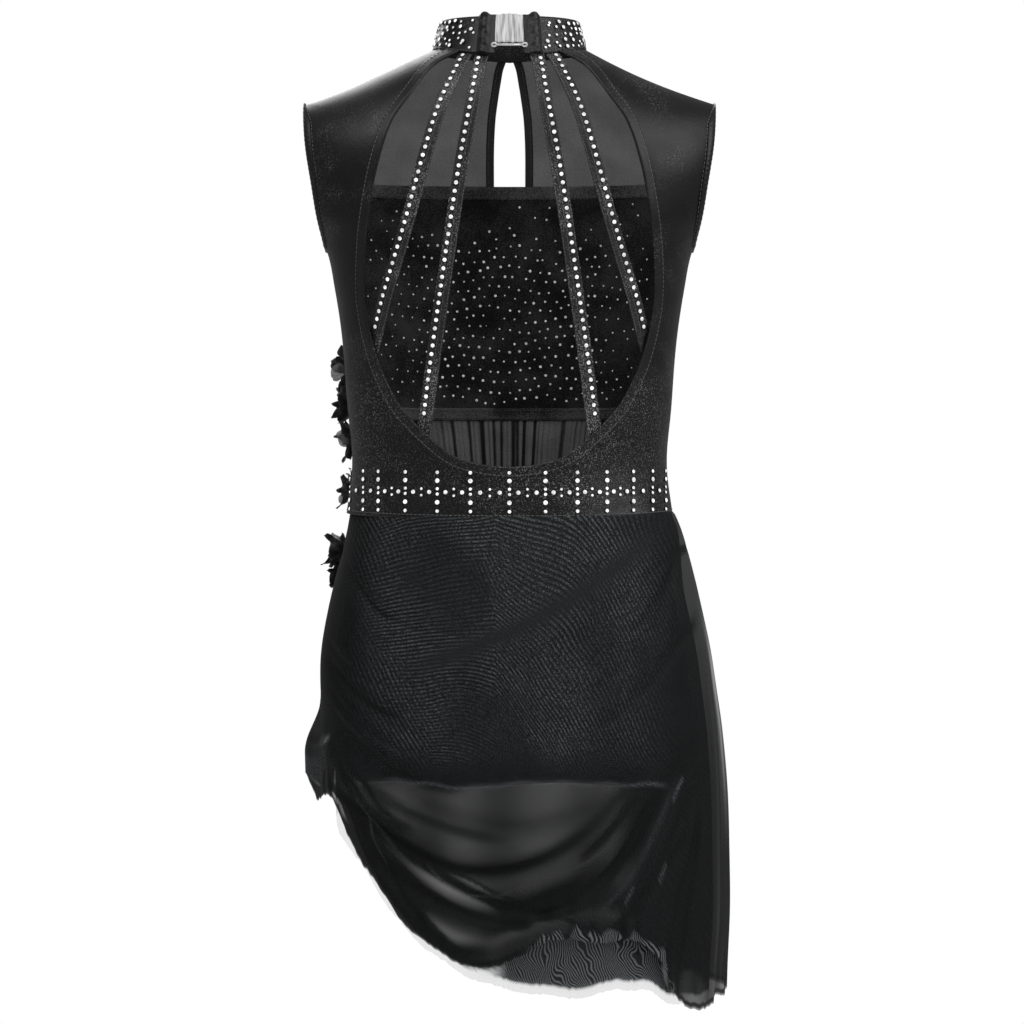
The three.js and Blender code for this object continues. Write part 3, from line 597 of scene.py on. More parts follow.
class Graph:
    """The shader graph of one material."""

    def __init__(self, name: str) -> None:
        """Starts a material with its principled shader."""
        self.material = bpy.data.materials.new(name)
        self.material.use_nodes = True
        self.tree = self.material.node_tree
        self.shader = self.tree.nodes["Principled BSDF"]

    def node(self, kind: str, settings: dict | None = None, values: dict | None = None,
             output: int | str = 0) -> Signal:
        """Adds any node.

        Args:
            kind: the node's type.
            settings: its own settings, set first.
            values: numbers, colours or signals for its inputs.
            output: which output is handed back.

        Returns:
            That output.
        """
        made = self.tree.nodes.new(kind)
        for key, value in (settings or {}).items():
            setattr(made, key, value)
        for key, value in (values or {}).items():
            self.feed(made.inputs[key], value)
        return Signal(self, made.outputs[output])

    def feed(self, socket: bpy.types.NodeSocket, value: object) -> None:
        """Links or sets an input.

        Args:
            socket: the input.
            value: a signal to link, or a number or colour to set.
        """
        if isinstance(value, Signal):
            self.tree.links.new(value.socket, socket)
        else:
            socket.default_value = value

    def set(self, **values: object) -> None:
        """Feeds the principled shader's inputs, named with _ for a space."""
        for key, value in values.items():
            self.feed(self.shader.inputs[key.replace("_", " ")], value)

    def place(self) -> Signal:
        """Object coordinates."""
        return self.node("ShaderNodeTexCoord", output="Object")

    def cloth_place(self) -> Signal:
        """The cloth's own coordinates along and across its grain, in metres."""
        return self.node("ShaderNodeTexCoord", output="UV")

    def axis(self, vector: Signal, name: str) -> Signal:
        """One coordinate of a vector."""
        return self.node("ShaderNodeSeparateXYZ", {}, {0: vector}, name)

    def scaled(self, vector: Signal, size: Triple) -> Signal:
        """A vector with its coordinates scaled one by one."""
        return self.node("ShaderNodeVectorMath", {"operation": "MULTIPLY"}, {0: vector, 1: size})

    def noise(self, vector: Signal, scale: float, detail: float = 2.0) -> Signal:
        """Noise from about 0.25 to 0.75 with a number of features for each metre."""
        return self.node("ShaderNodeTexNoise", {}, {"Vector": vector, "Scale": scale, "Detail": detail})

    def cells(self, vector: Signal, scale: float) -> Signal:
        """Distance to the nearest edge in a field of cells."""
        settings = {"feature": "DISTANCE_TO_EDGE"}
        return self.node("ShaderNodeTexVoronoi", settings, {"Vector": vector, "Scale": scale})

    def attribute(self, name: str) -> Signal:
        """A number kept on the cloth's points."""
        return self.node("ShaderNodeAttribute", {"attribute_name": name}, output="Fac")

    def blend(self, share: Signal, low: Colour | Signal, high: Colour | Signal) -> Signal:
        """A colour between two."""
        return self.node("ShaderNodeMix", {"data_type": "RGBA"}, {0: share, 6: low, 7: high}, 2)

    def bump(self, height: Signal, strength: float, distance: float) -> None:
        """Feeds the normal from a height."""
        values = {"Strength": strength, "Distance": distance, "Height": height}
        self.set(Normal=self.node("ShaderNodeBump", {}, values))


def grey(level: float, warm: float = 0.0) -> Colour:
    """A grey, a little warm or cool."""
    return (level * (1 + warm), level, level * (1 - warm), 1.0)


MADE: dict[str, bpy.types.Material] = {}


@dataclass(frozen=True)
class Finish:
    """A finish of the dress, whose material is made once."""

    name: str
    level: float
    roughness: float = 0.6

    def material(self) -> bpy.types.Material:
        """Makes the finish's material, or finds it.

        Returns:
            The material, the same one each time.
        """
        if self.name not in MADE:
            graph = Graph(self.name)
            graph.set(Base_Color=grey(self.level), Roughness=self.roughness)
            self.build(graph)
            MADE[self.name] = graph.material
        return MADE[self.name]

    def build(self, graph: Graph) -> None:
        """Adds what varies over the surface."""
        mottle = graph.noise(graph.place(), 900.0).step(0.3, 0.7)
        graph.set(Base_Color=graph.blend(mottle, grey(self.level * 0.7), grey(self.level * 1.3)))


@dataclass(frozen=True)
class FoilKnit(Finish):
    """Stretch knit with a cracked foil face: near black, with drifts of fine specks painted light grey as the
    foil's glints.
    """

    crackle: float = 1.0

    def build(self, graph: Graph) -> None:
        """Adds the crinkle, the specks painted as glints, more of them at the waist and on the right as a
        painted highlight, and the worn sheen.

        Args:
            graph: the material's graph.
        """
        place = graph.place()
        patches = (graph.noise(place, 14.0, 2.0) * 0.6 + graph.noise(place, 45.0, 3.0) * 0.4).step(0.47, 0.62)
        # Painted highlight: the waist and right masks paint more light-grey specks where the foil catches the
        # light.
        waist = 1.0 - (graph.axis(place, "Z") + 0.278).math("ABSOLUTE").step(0.02, 0.07)
        right = graph.axis(place, "X").step(-0.08, 0.06) * 0.7 + 0.3
        veins = 1.0 - graph.cells(graph.scaled(place, (1.0, 1.0, 1.25)), 430.0).step(0.0, 0.12)
        specks = graph.noise(place, 1150.0, 2.0).step(0.53, 0.66) * (veins * 0.65 + 0.35)
        amount = (specks * (patches * 0.5 + 0.05 + waist * right * 0.6) * self.crackle).held()
        crinkle = graph.noise(place, 420.0, 4.0) + graph.noise(place, 90.0, 2.0) * 0.5
        # The specks' light grey is painted glint on the near-black knit.
        graph.set(
            Base_Color=graph.blend(amount, grey(self.level), grey(0.5)),
            Roughness=(graph.noise(place, 50.0, 2.0) * 0.2 + 0.26).held(),
            Specular_IOR_Level=0.5,
        )
        graph.bump(crinkle, 0.22, 0.0006)


@dataclass(frozen=True)
class Velvet(Finish):
    """Black stretch velvet with a soft nap."""

    def build(self, graph: Graph) -> None:
        """Adds the nap's drift and its sheen.

        Args:
            graph: the material's graph.
        """
        place = graph.place()
        drift = graph.noise(place, 35.0, 3.0)
        pile = graph.noise(place, 1300.0, 1.0)
        nap = (drift * 0.5 + pile * 0.5).step(0.42, 0.62)
        graph.set(
            Base_Color=graph.blend(nap, grey(self.level * 0.5), grey(self.level * 2.2)),
            Roughness=(drift * 0.2 + 0.78).held(),
            Sheen_Weight=0.3,
            Sheen_Roughness=0.4,
            Sheen_Tint=grey(0.5),
            Specular_IOR_Level=0.15,
        )
        graph.bump(pile + drift * 0.6, 0.35, 0.0004)


@dataclass(frozen=True)
class SheerMesh(Finish):
    """Fine power mesh, a single see-through layer, closer where it is gathered, where painted shade darkens
    it.
    """

    cover: float = 0.93

    def build(self, graph: Graph) -> None:
        """Adds the net of the threads, a slow unevenness and the gathers, which close the net and carry
        painted shade.

        Args:
            graph: the material's graph.
        """
        flat = graph.cloth_place()
        across, along = graph.axis(flat, "X"), graph.axis(flat, "Y")
        net = (across * 1400.0).wave() * (along * 1400.0).wave()
        slub = graph.noise(graph.place(), 900.0, 2.0).step(0.35, 0.65)
        cloud = graph.noise(graph.place(), 30.0, 3.0).step(0.35, 0.7)
        gathered = graph.attribute("bunch_and_shade")
        open_net = graph.blend(net * 0.4 + slub * 0.6, grey(self.level * 0.7), grey(self.level * 1.3))
        graph.set(
            # Painted shade: the gathers' colour is darkened towards a fifth of the mesh's grey.
            Base_Color=graph.blend(gathered, open_net, grey(self.level * 0.2)),
            Alpha=(cloud * -0.02 + net * 0.02 + self.cover + gathered * 0.06).held(),
            Roughness=0.62,
            Specular_IOR_Level=0.3,
        )
        graph.bump(net, 0.2, 0.0002)


@dataclass(frozen=True)
class Tulle(Finish):
    """Soft stretch tulle, one see-through layer that closes where folds gather it, with painted shade
    darkening the folds.
    """

    cover: float = 0.51

    def build(self, graph: Graph) -> None:
        """Adds the watered lines of net over net, the painted shade of the folds, the painted highlights of
        the bright creases and of the sheen band, and the thin hem.

        Args:
            graph: the material's graph.
        """
        place = graph.place()
        x, z = graph.axis(place, "X"), graph.axis(place, "Z") + 0.40
        warp = graph.noise(place, 7.0, 1.0) * 19.0 + graph.noise(place, 22.0, 1.0) * 2.4
        turned = x.step(-0.05, 0.05)
        arch = (x + 0.06) * (x + 0.06) * (1.0 - turned) * 900.0
        slant = (x + 0.01).math("MAXIMUM", 0.0) * 270.0
        phase = z * (380.0 - turned * 210.0) + arch + slant + warp
        crossing = graph.noise(place, 12.0, 1.0).step(0.46, 0.64) * (1.0 - turned)
        crossed = (x * 300.0 + z * 150.0 + warp * 0.6).wave()
        watered = phase.wave() * (1.0 - crossing) + crossed * crossing
        grained = (x * 520.0 + z * 150.0 + graph.noise(place, 50.0, 1.0) * 13.0).wave()
        dashed = graph.noise(place, 900.0, 1.0).step(0.40, 0.60) * 0.8 + 0.2
        drifts = graph.noise(place, 13.0, 2.0).step(0.36, 0.56) * 0.5 + 0.5
        on_lining = (z + 0.11).step(0.0, 0.03) * (0.128 - x).step(0.0, 0.05) * (x + 0.122).step(0.0, 0.04)
        fold, thin = graph.attribute("bunch_and_shade"), graph.attribute("thin")
        gleam, smooth, low = graph.attribute("gleam"), graph.attribute("smooth"), graph.attribute("grain")
        upper = (watered * dashed * drifts * (on_lining * 0.85 + 0.15)) ** 1.5 * (1.0 - low)
        lines = upper * (1.0 - fold * 0.7) * (1.0 - smooth) + (grained ** 3.0) * low * (dashed * 1.4 + 0.8)
        nubs = graph.noise(place, 1500.0, 1.0).step(0.45, 0.75) * 0.05
        lit = gleam * (graph.noise(place, 700.0, 2.0).step(0.35, 0.65) * 0.7 + 0.3)
        # Painted shade: the folds' colour is darkened to a third of the tulle's grey.
        cloth = graph.blend(fold, grey(self.level, -0.07), grey(self.level * 0.35, -0.07))
        # Painted sheen: along the smooth band the colour is lightened.
        cloth = graph.blend((smooth * 0.6).held(), cloth, grey(self.level * 2.6, -0.06))
        filled = (fold * (0.99 - self.cover) + lines * 0.1 + lit * 0.3 + self.cover).held()
        graph.set(
            Base_Color=graph.blend((lines + nubs + lit).held(), cloth, grey(0.27, -0.06)),
            Alpha=(filled * (1.0 - thin * 0.66)).held(),
            Roughness=0.66,
            Specular_IOR_Level=0.2,
        )
        graph.bump(watered + graph.noise(place, 1600.0, 1.0), 0.25, 0.0003)


@dataclass(frozen=True)
class Lining(Finish):
    """Matt opaque jersey with a lighter raw edge."""

    def build(self, graph: Graph) -> None:
        """Adds the jersey's fine wales and a slow drift.

        Args:
            graph: the material's graph.
        """
        flat = graph.cloth_place()
        wales = (graph.axis(flat, "X") * 900.0).wave()
        raw_edge = graph.attribute("thin") * graph.noise(graph.place(), 20.0, 2.0).step(0.3, 0.55)
        graph.set(
            Base_Color=graph.blend(raw_edge, grey(self.level), grey(0.95)),
            Roughness=0.75,
            Specular_IOR_Level=0.2,
        )
        graph.bump(wales, 0.25, 0.0002)


@dataclass(frozen=True)
class Elastic(Finish):
    """Pale gathered elastic with woven ribs, with painted shade in its gathers and a painted glow."""

    def build(self, graph: Graph) -> None:
        """Adds the woven ribs, painted shade in the gathers and a painted glow, stronger where the gathers
        are lighter.

        Args:
            graph: the material's graph.
        """
        flat = graph.cloth_place()
        rib = (graph.axis(flat, "X") * 1300.0).wave()
        pick = (graph.axis(flat, "Y") * 900.0).wave()
        gathers = graph.noise(graph.scaled(flat, (1.0, 0.08, 1.0)), 520.0, 2.0).step(0.40, 0.60)
        weave = gathers * 0.7 + rib * 0.2 + pick * 0.1
        graph.set(
            # Painted shade and painted glow: the gathers' valleys are darkened, and the elastic glows, most
            # on their crests.
            Base_Color=graph.blend(weave, grey(self.level * 0.5), grey(self.level)),
            Emission_Color=graph.blend(gathers, grey(0.06), grey(0.22)),
            Emission_Strength=1.0,
            Roughness=0.42,
            Sheen_Weight=0.2,
        )
        graph.bump(rib + pick * 0.5, 0.4, 0.0002)


@dataclass(frozen=True)
class Plate(Finish):
    """Nickel or dark plated metal, with a painted glow where glow is set."""

    glow: float = 0.0

    def build(self, graph: Graph) -> None:
        """Adds fine wear and the painted glow.

        Args:
            graph: the material's graph.
        """
        wear = graph.noise(graph.place(), 700.0, 3.0).step(0.4, 0.7)
        graph.set(
            Metallic=1.0,
            Roughness=(wear * 0.15 + self.roughness).held(),
            # Painted glow: the metal is lit from within to look brighter.
            Emission_Color=grey(self.glow),
            Emission_Strength=1.0,
        )


@dataclass(frozen=True)
class Stone(Finish):
    """Foil-backed glass, made bright from every side by a painted glow that stands in for its sparkle, a
    little uneven from stone to stone.
    """

    glow: float = 0.85

    def build(self, graph: Graph) -> None:
        """Adds the change from stone to stone, in colour and in the painted glow.

        Args:
            graph: the material's graph.
        """
        each = graph.noise(graph.place(), 380.0, 0.0).step(0.38, 0.6)
        graph.set(
            Base_Color=graph.blend(each, grey(self.level * 0.75), grey(self.level)),
            # Painted glow in place of the stones' sparkle.
            Emission_Color=graph.blend(each, grey(0.55), grey(1.0)),
            Emission_Strength=self.glow,
            Roughness=self.roughness,
            Specular_IOR_Level=0.8,
        )


@dataclass(frozen=True)
class Petal(Finish):
    """Thin crisp fabric of petals and leaves, lighter towards some edges."""

    def build(self, graph: Graph) -> None:
        """Adds veins, lighter edges and the pale petals among the black ones.

        Args:
            graph: the material's graph.
        """
        place = graph.place()
        veins = (graph.axis(graph.cloth_place(), "Y") * 5.0 + graph.noise(place, 200.0)).wave()
        light = graph.noise(place, 160.0, 1.0).step(0.5, 0.68)
        pale = graph.attribute("pale")
        black = graph.blend(veins * 0.35 + light * 0.65, grey(self.level), grey(self.level * 4 + 0.04))
        white = graph.blend(veins * 0.6 + light * 0.4, grey(0.22), grey(0.6))
        graph.set(
            Base_Color=graph.blend(pale, black, white),
            Alpha=(1.0 - pale * 0.3).held(),
            Roughness=0.55,
            Sheen_Weight=0.15,
        )
        graph.bump(veins, 0.3, 0.0003)


FOIL = FoilKnit("foil_knit", 0.007)
FOIL_TRIM = FoilKnit("foil_knit_trim", 0.012, crackle=0.45)
GLITTER = FoilKnit("glitter_knit", 0.03, crackle=7.0)
EDGE = FoilKnit("rolled_edge", 0.013, crackle=1.1)
VELVET = Velvet("nap_velvet", 0.046)
BAND = Velvet("band_velvet", 0.12)
BINDING = FoilKnit("binding_knit", 0.034, crackle=0.5)
YOKE_MESH = SheerMesh("yoke_mesh", 0.122, cover=0.95)
MIDRIFF_MESH = SheerMesh("midriff_mesh", 0.11, cover=0.97)
TULLE = Tulle("soft_tulle", 0.024)
LINING = Lining("lining_jersey", 0.020)
ELASTIC = Elastic("pale_elastic", 0.95)
# The nickel gets a painted glow.
NICKEL = Plate("nickel", 0.75, 0.2, glow=0.25)
CUP = Plate("stone_cup", 0.12, 0.3)
STONE = Stone("clear_stone", 0.9, 0.12)
# The glue dots get a painted glow too.
DOT = Stone("glue_dot", 0.9, 0.35, glow=0.32)
THREAD = Finish("sewing_thread", 0.20, 0.5)
PETAL = Petal("petal_cloth", 0.014)


# ---------------- making cloth
def stand(name: str, data: bpy.types.ID) -> bpy.types.Object:
    """Puts a mesh, a camera or a light into the scene as an object."""
    piece = bpy.data.objects.new(name, data)
    bpy.context.scene.collection.objects.link(piece)
    return piece


def solid(name: str, form: bmesh.types.BMesh) -> bpy.types.Object:
    """Puts a bmesh into the scene as an object, and frees it.

    Args:
        name: the object's name.
        form: its shape, in metres.

    Returns:
        The object.
    """
    mesh = bpy.data.meshes.new(name)
    form.to_mesh(mesh)
    form.free()
    return stand(name, mesh)


def walled(piece: bpy.types.Object, wall: float, offset: float) -> None:
    """Gives a piece a thickness in millimetres, on its inner side at offset -1 and on both at 0."""
    shell = piece.modifiers.new("wall", "SOLIDIFY")
    shell.thickness, shell.offset = wall * MM, offset


@dataclass(frozen=True)
class Patch:
    """The points of a sheet before it is lifted, with their shares across and along it."""

    u: Array
    v: Array
    points: Array

    @property
    def x(self) -> Array:
        """Widths of the points."""
        return self.points[:, 0]

    @property
    def z(self) -> Array:
        """Heights of the points."""
        return self.points[:, 2]


@dataclass
class Cloth:
    """A sheet woven from a flat grid: where each point goes, how far it is lifted, and how thick it is.

    place takes the shares across and along the sheet and gives points in millimetres; lift and the marks
    take the patch of those points.
    """

    name: str
    columns: int
    rows: int
    place: Surface
    lift: Lift
    wall: float = 0.0
    closed: bool = False
    marks: dict[str, Lift] = field(default_factory=dict)

    def faced(self, points: Array) -> tuple[Array, bool]:
        """Normals of the grid of points, facing away from the body.

        Args:
            points: the points, as rows of the grid.

        Returns:
            The normals, and whether the grid's faces have to be turned over.
        """
        across, along = np.gradient(points, axis=0), np.gradient(points, axis=1)
        if self.closed:
            wrap = points[:, 1] - points[:, -2]
            along[:, 0] = along[:, -1] = wrap / 2
        normal = np.cross(along, across)
        normal /= np.maximum(np.linalg.norm(normal, axis=-1, keepdims=True), 1e-9)
        outward = (normal[..., :2] * points[..., :2]).sum() > 0
        return (normal if outward else -normal), not outward

    def build(self) -> bpy.types.Object:
        """Weaves the sheet.

        Returns:
            Its object, in metres.
        """
        flat = bmesh.new()
        bmesh.ops.create_grid(flat, x_segments=self.columns, y_segments=self.rows, size=0.5, calc_uvs=True)
        mesh = bpy.data.meshes.new(self.name)
        flat.to_mesh(mesh)
        flat.free()
        raw = np.empty(len(mesh.vertices) * 3)
        mesh.vertices.foreach_get("co", raw)
        u, v = np.clip(raw[0::3] + 0.5, 0, 1), np.clip(raw[1::3] + 0.5, 0, 1)
        base = self.place(u, v)
        shape = (self.rows + 1, self.columns + 1)
        normals, turned = self.faced(base.reshape(*shape, 3))
        patch = Patch(u, v, base)
        made = base + normals.reshape(-1, 3) * self.lift(patch).reshape(-1, 1)
        mesh.vertices.foreach_set("co", (made * MM).ravel())
        grid = made.reshape(*shape, 3) * MM
        for name, mark in self.marks.items():
            mesh.attributes.new(name, "FLOAT", "POINT").data.foreach_set("value", mark(patch))
        self.lay_flat(mesh, grid)
        if turned:
            mesh.flip_normals()
        if self.closed:
            sheet = bmesh.new()
            sheet.from_mesh(mesh)
            bmesh.ops.remove_doubles(sheet, verts=sheet.verts, dist=0.0002)
            sheet.to_mesh(mesh)
            sheet.free()
        mesh.shade_smooth()
        piece = stand(self.name, mesh)
        if self.wall:
            walled(piece, self.wall, -1.0)
        return piece

    def lay_flat(self, mesh: bpy.types.Mesh, grid: Array) -> None:
        """Gives the mesh a UV map that measures the cloth along its rows and columns, in metres.

        Args:
            mesh: the mesh.
            grid: its points as rows of the grid, in metres.
        """
        along = np.zeros(grid.shape[:2])
        along[:, 1:] = np.cumsum(np.linalg.norm(np.diff(grid, axis=1), axis=-1), axis=1)
        along -= along[:, -1:] / 2
        across = np.zeros(grid.shape[:2])
        across[1:] = np.cumsum(np.linalg.norm(np.diff(grid, axis=0), axis=-1), axis=0)
        flat = np.stack([along, across], axis=-1).reshape(-1, 2)
        corners = np.empty(len(mesh.loops), dtype=int)
        mesh.loops.foreach_get("vertex_index", corners)
        mesh.uv_layers.new(name="grain").data.foreach_set("uv", flat[corners].ravel())


@dataclass(frozen=True)
class Cut:
    """How a cloth piece was cut: its flat width and length in millimetres, and how it is held."""

    width: float
    length: float
    held: Held
    rests_on: tuple[str, ...] = ()
    fullness: float = 1.0


def dress(piece: bpy.types.Object, finish: Finish, slot: str, *nodes: str,
          cut: Cut | None = None) -> bpy.types.Object:
    """Gives a piece its finish and its place in the frame, and logs its cut or its number of faces.

    Args:
        piece: the piece.
        finish: its finish.
        slot: the material slot, not used.
        nodes: the solids that it stands for.
        cut: its cut, for cloth.

    Returns:
        The piece.
    """
    if not piece.data.materials:
        piece.data.materials.append(finish.material())
    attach(piece, "root")
    if nodes:
        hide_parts(*nodes)
    if cut:
        flat = (cut.width * MM, cut.length * MM)
        worn = float(sum(face.area for face in piece.data.polygons))
        area = min(worn * cut.fullness, flat[0] * flat[1])
        LOG.info("%s: cut %.0f x %.0f mm, area %.4f m2, worn share %.2f", piece.name, cut.width, cut.length,
                 area, worn / area)
    else:
        LOG.info("%s: %d faces", piece.name, len(piece.data.polygons))
    return piece


# ---------------- small things sewn or glued on
@dataclass
class Spot:
    """A place on the cloth for something small: point and normal in millimetres, and its size."""

    point: Vector
    normal: Vector
    size: float = 1.0
    along: Vector | None = None

    def matrix(self, stretch: Triple) -> Matrix:
        """The transform that sets a unit shape here.

        Args:
            stretch: the shape's scale along its own axes, times the spot's size.

        Returns:
            The transform, in metres.
        """
        up = self.normal.normalized()
        if self.along is None:
            turn = up.to_track_quat("Z", "Y").to_matrix()
        else:
            side = up.cross(self.along).normalized()
            turn = Matrix((side.cross(up), side, up)).transposed()
        scale = Matrix.Diagonal([self.size * MM * s for s in stretch])
        return Matrix.Translation(self.point * MM) @ (turn @ scale).to_4x4()


def surface_spots(surface: Surface, a: Array, b: Array, lift: float, size: float | Array = 1.0,
                  inward: bool = False) -> list[Spot]:
    """Spots on a surface of two parameters.

    Args:
        surface: gives points for its parameters.
        a: first parameters.
        b: second parameters.
        lift: height above the surface.
        size: size of each spot.
        inward: whether the spots are on the face towards the body.

    Returns:
        The spots.
    """
    a, b = np.broadcast_arrays(np.asarray(a, dtype=float), np.asarray(b, dtype=float))
    step = 1e-3
    along = surface(a + step, b) - surface(a - step, b)
    across = surface(a, b + step) - surface(a, b - step)
    point, normal = surface(a, b), np.cross(along, across)
    normal /= np.maximum(np.linalg.norm(normal, axis=1, keepdims=True), 1e-12)
    facing = np.sign((normal[:, :2] * point[:, :2]).sum(axis=1))[:, None]
    normal = normal * np.where(facing == 0, 1, facing) * (-1 if inward else 1)
    sizes = np.broadcast_to(size, a.shape)
    return [Spot(Vector(p + n * lift), Vector(n), float(s)) for p, n, s in zip(point, normal, sizes)]


def path_spots(points: Array, normals: Array, pitch: float, size: float = 1.0) -> list[Spot]:
    """Spots at an even pitch along a path.

    Args:
        points: points of the path.
        normals: the cloth's normals there.
        pitch: distance between spots.
        size: size of each spot.

    Returns:
        The spots, turned along the path.
    """
    steps = np.linalg.norm(np.diff(points, axis=0), axis=1)
    length = np.concatenate([[0.0], np.cumsum(steps)])
    at = np.arange(pitch / 2, length[-1], pitch)
    place = np.stack([np.interp(at, length, points[:, k]) for k in range(3)], axis=1)
    ahead = np.stack([np.interp(at + 0.5, length, points[:, k]) for k in range(3)], axis=1)
    facing = np.stack([np.interp(at, length, normals[:, k]) for k in range(3)], axis=1)
    return [Spot(Vector(p), Vector(n), size, Vector(q - p)) for p, q, n in zip(place, ahead, facing)
            if np.linalg.norm(q - p) > 1e-6]


@dataclass
class Scatter:
    """Many copies of one small shape joined into a mesh."""

    name: str
    stretch: Triple = (1.0, 1.0, 1.0)

    def shape(self) -> bpy.types.Mesh:
        """The unit shape of a stitch.

        Returns:
            A short bar with a rounded back.
        """
        bar = bmesh.new()
        bmesh.ops.create_cube(bar, size=1.0)
        top = [edge for edge in bar.edges if all(vert.co.z > 0 for vert in edge.verts)]
        bmesh.ops.bevel(bar, geom=top, offset=0.3, segments=1, affect="EDGES", profile=0.5, material=-1)
        return self.kept(bar)

    def kept(self, form: bmesh.types.BMesh) -> bpy.types.Mesh:
        """Turns a bmesh into a mesh and frees it.

        Args:
            form: the bmesh.

        Returns:
            The mesh.
        """
        mesh = bpy.data.meshes.new(self.name + "_one")
        form.normal_update()
        form.to_mesh(mesh)
        form.free()
        return mesh

    def join(self, places: list[Spot]) -> bpy.types.Object:
        """Sets a copy at every spot.

        Args:
            places: the spots.

        Returns:
            One object with all of them.
        """
        one, whole = self.shape(), bmesh.new()
        for spot in places:
            move = spot.matrix(self.stretch)
            one.transform(move)
            whole.from_mesh(one)
            one.transform(move.inverted_safe())
        bpy.data.meshes.remove(one)
        return solid(self.name, whole)


@dataclass
class StoneScatter(Scatter):
    """Faceted stones in dark cups: the first material is the stone, the second the cup."""

    sides: int = 8

    def shape(self) -> bpy.types.Mesh:
        """A unit stone of radius 1.

        Returns:
            A stone with a cup's wall and dark rim, sloping facets and a flat table.
        """
        stone = bmesh.new()
        bmesh.ops.create_circle(stone, cap_ends=True, segments=self.sides, radius=1.0)
        lift = bmesh.ops.extrude_face_region(stone, geom=stone.faces[:])
        raised = [item for item in lift["geom"] if isinstance(item, bmesh.types.BMVert)]
        bmesh.ops.translate(stone, verts=raised, vec=(0, 0, 0.35))
        for face in stone.faces:
            face.material_index = 1
        top = max(stone.faces, key=lambda face: face.calc_center_median().z)
        bmesh.ops.inset_individual(stone, faces=[top], thickness=0.16, depth=0.0)
        before = set(stone.faces)
        bmesh.ops.inset_individual(stone, faces=[top], thickness=0.34, depth=0.32)
        for face in (set(stone.faces) - before) | {top}:
            face.material_index = 0
        bmesh.ops.recalc_face_normals(stone, faces=stone.faces)
        return self.kept(stone)

    def set_on(self, places: list[Spot], slot: str, stone: Finish = STONE) -> None:
        """Args:
            places: the spots.
            slot: the slot of the cloth that they are on, not used.
            stone: their finish; the cup's is always the same.
        """
        piece = self.join(places)
        piece.data.materials.append(stone.material())
        piece.data.materials.append(CUP.material())
        dress(piece, stone, slot)


def stitch(name: str, lines: list[tuple[Array, Array]], pitch: float = 3.2, long: float = 2.1,
           thick: float = 0.5) -> None:
    """Rows of stitches as one piece."""
    places = [spot for points, normals in lines for spot in path_spots(points, normals, pitch)]
    dress(Scatter(name, (long, thick, thick * 0.7)).join(places), THREAD, "knit")


def traced(surface: Surface, a: Array, b: Array, lift: float, inward: bool = False) -> tuple[Array, Array]:
    """A line drawn on a surface."""
    found = surface_spots(surface, a, b, lift, 1.0, inward)
    return np.array([spot.point for spot in found]), np.array([spot.normal for spot in found])


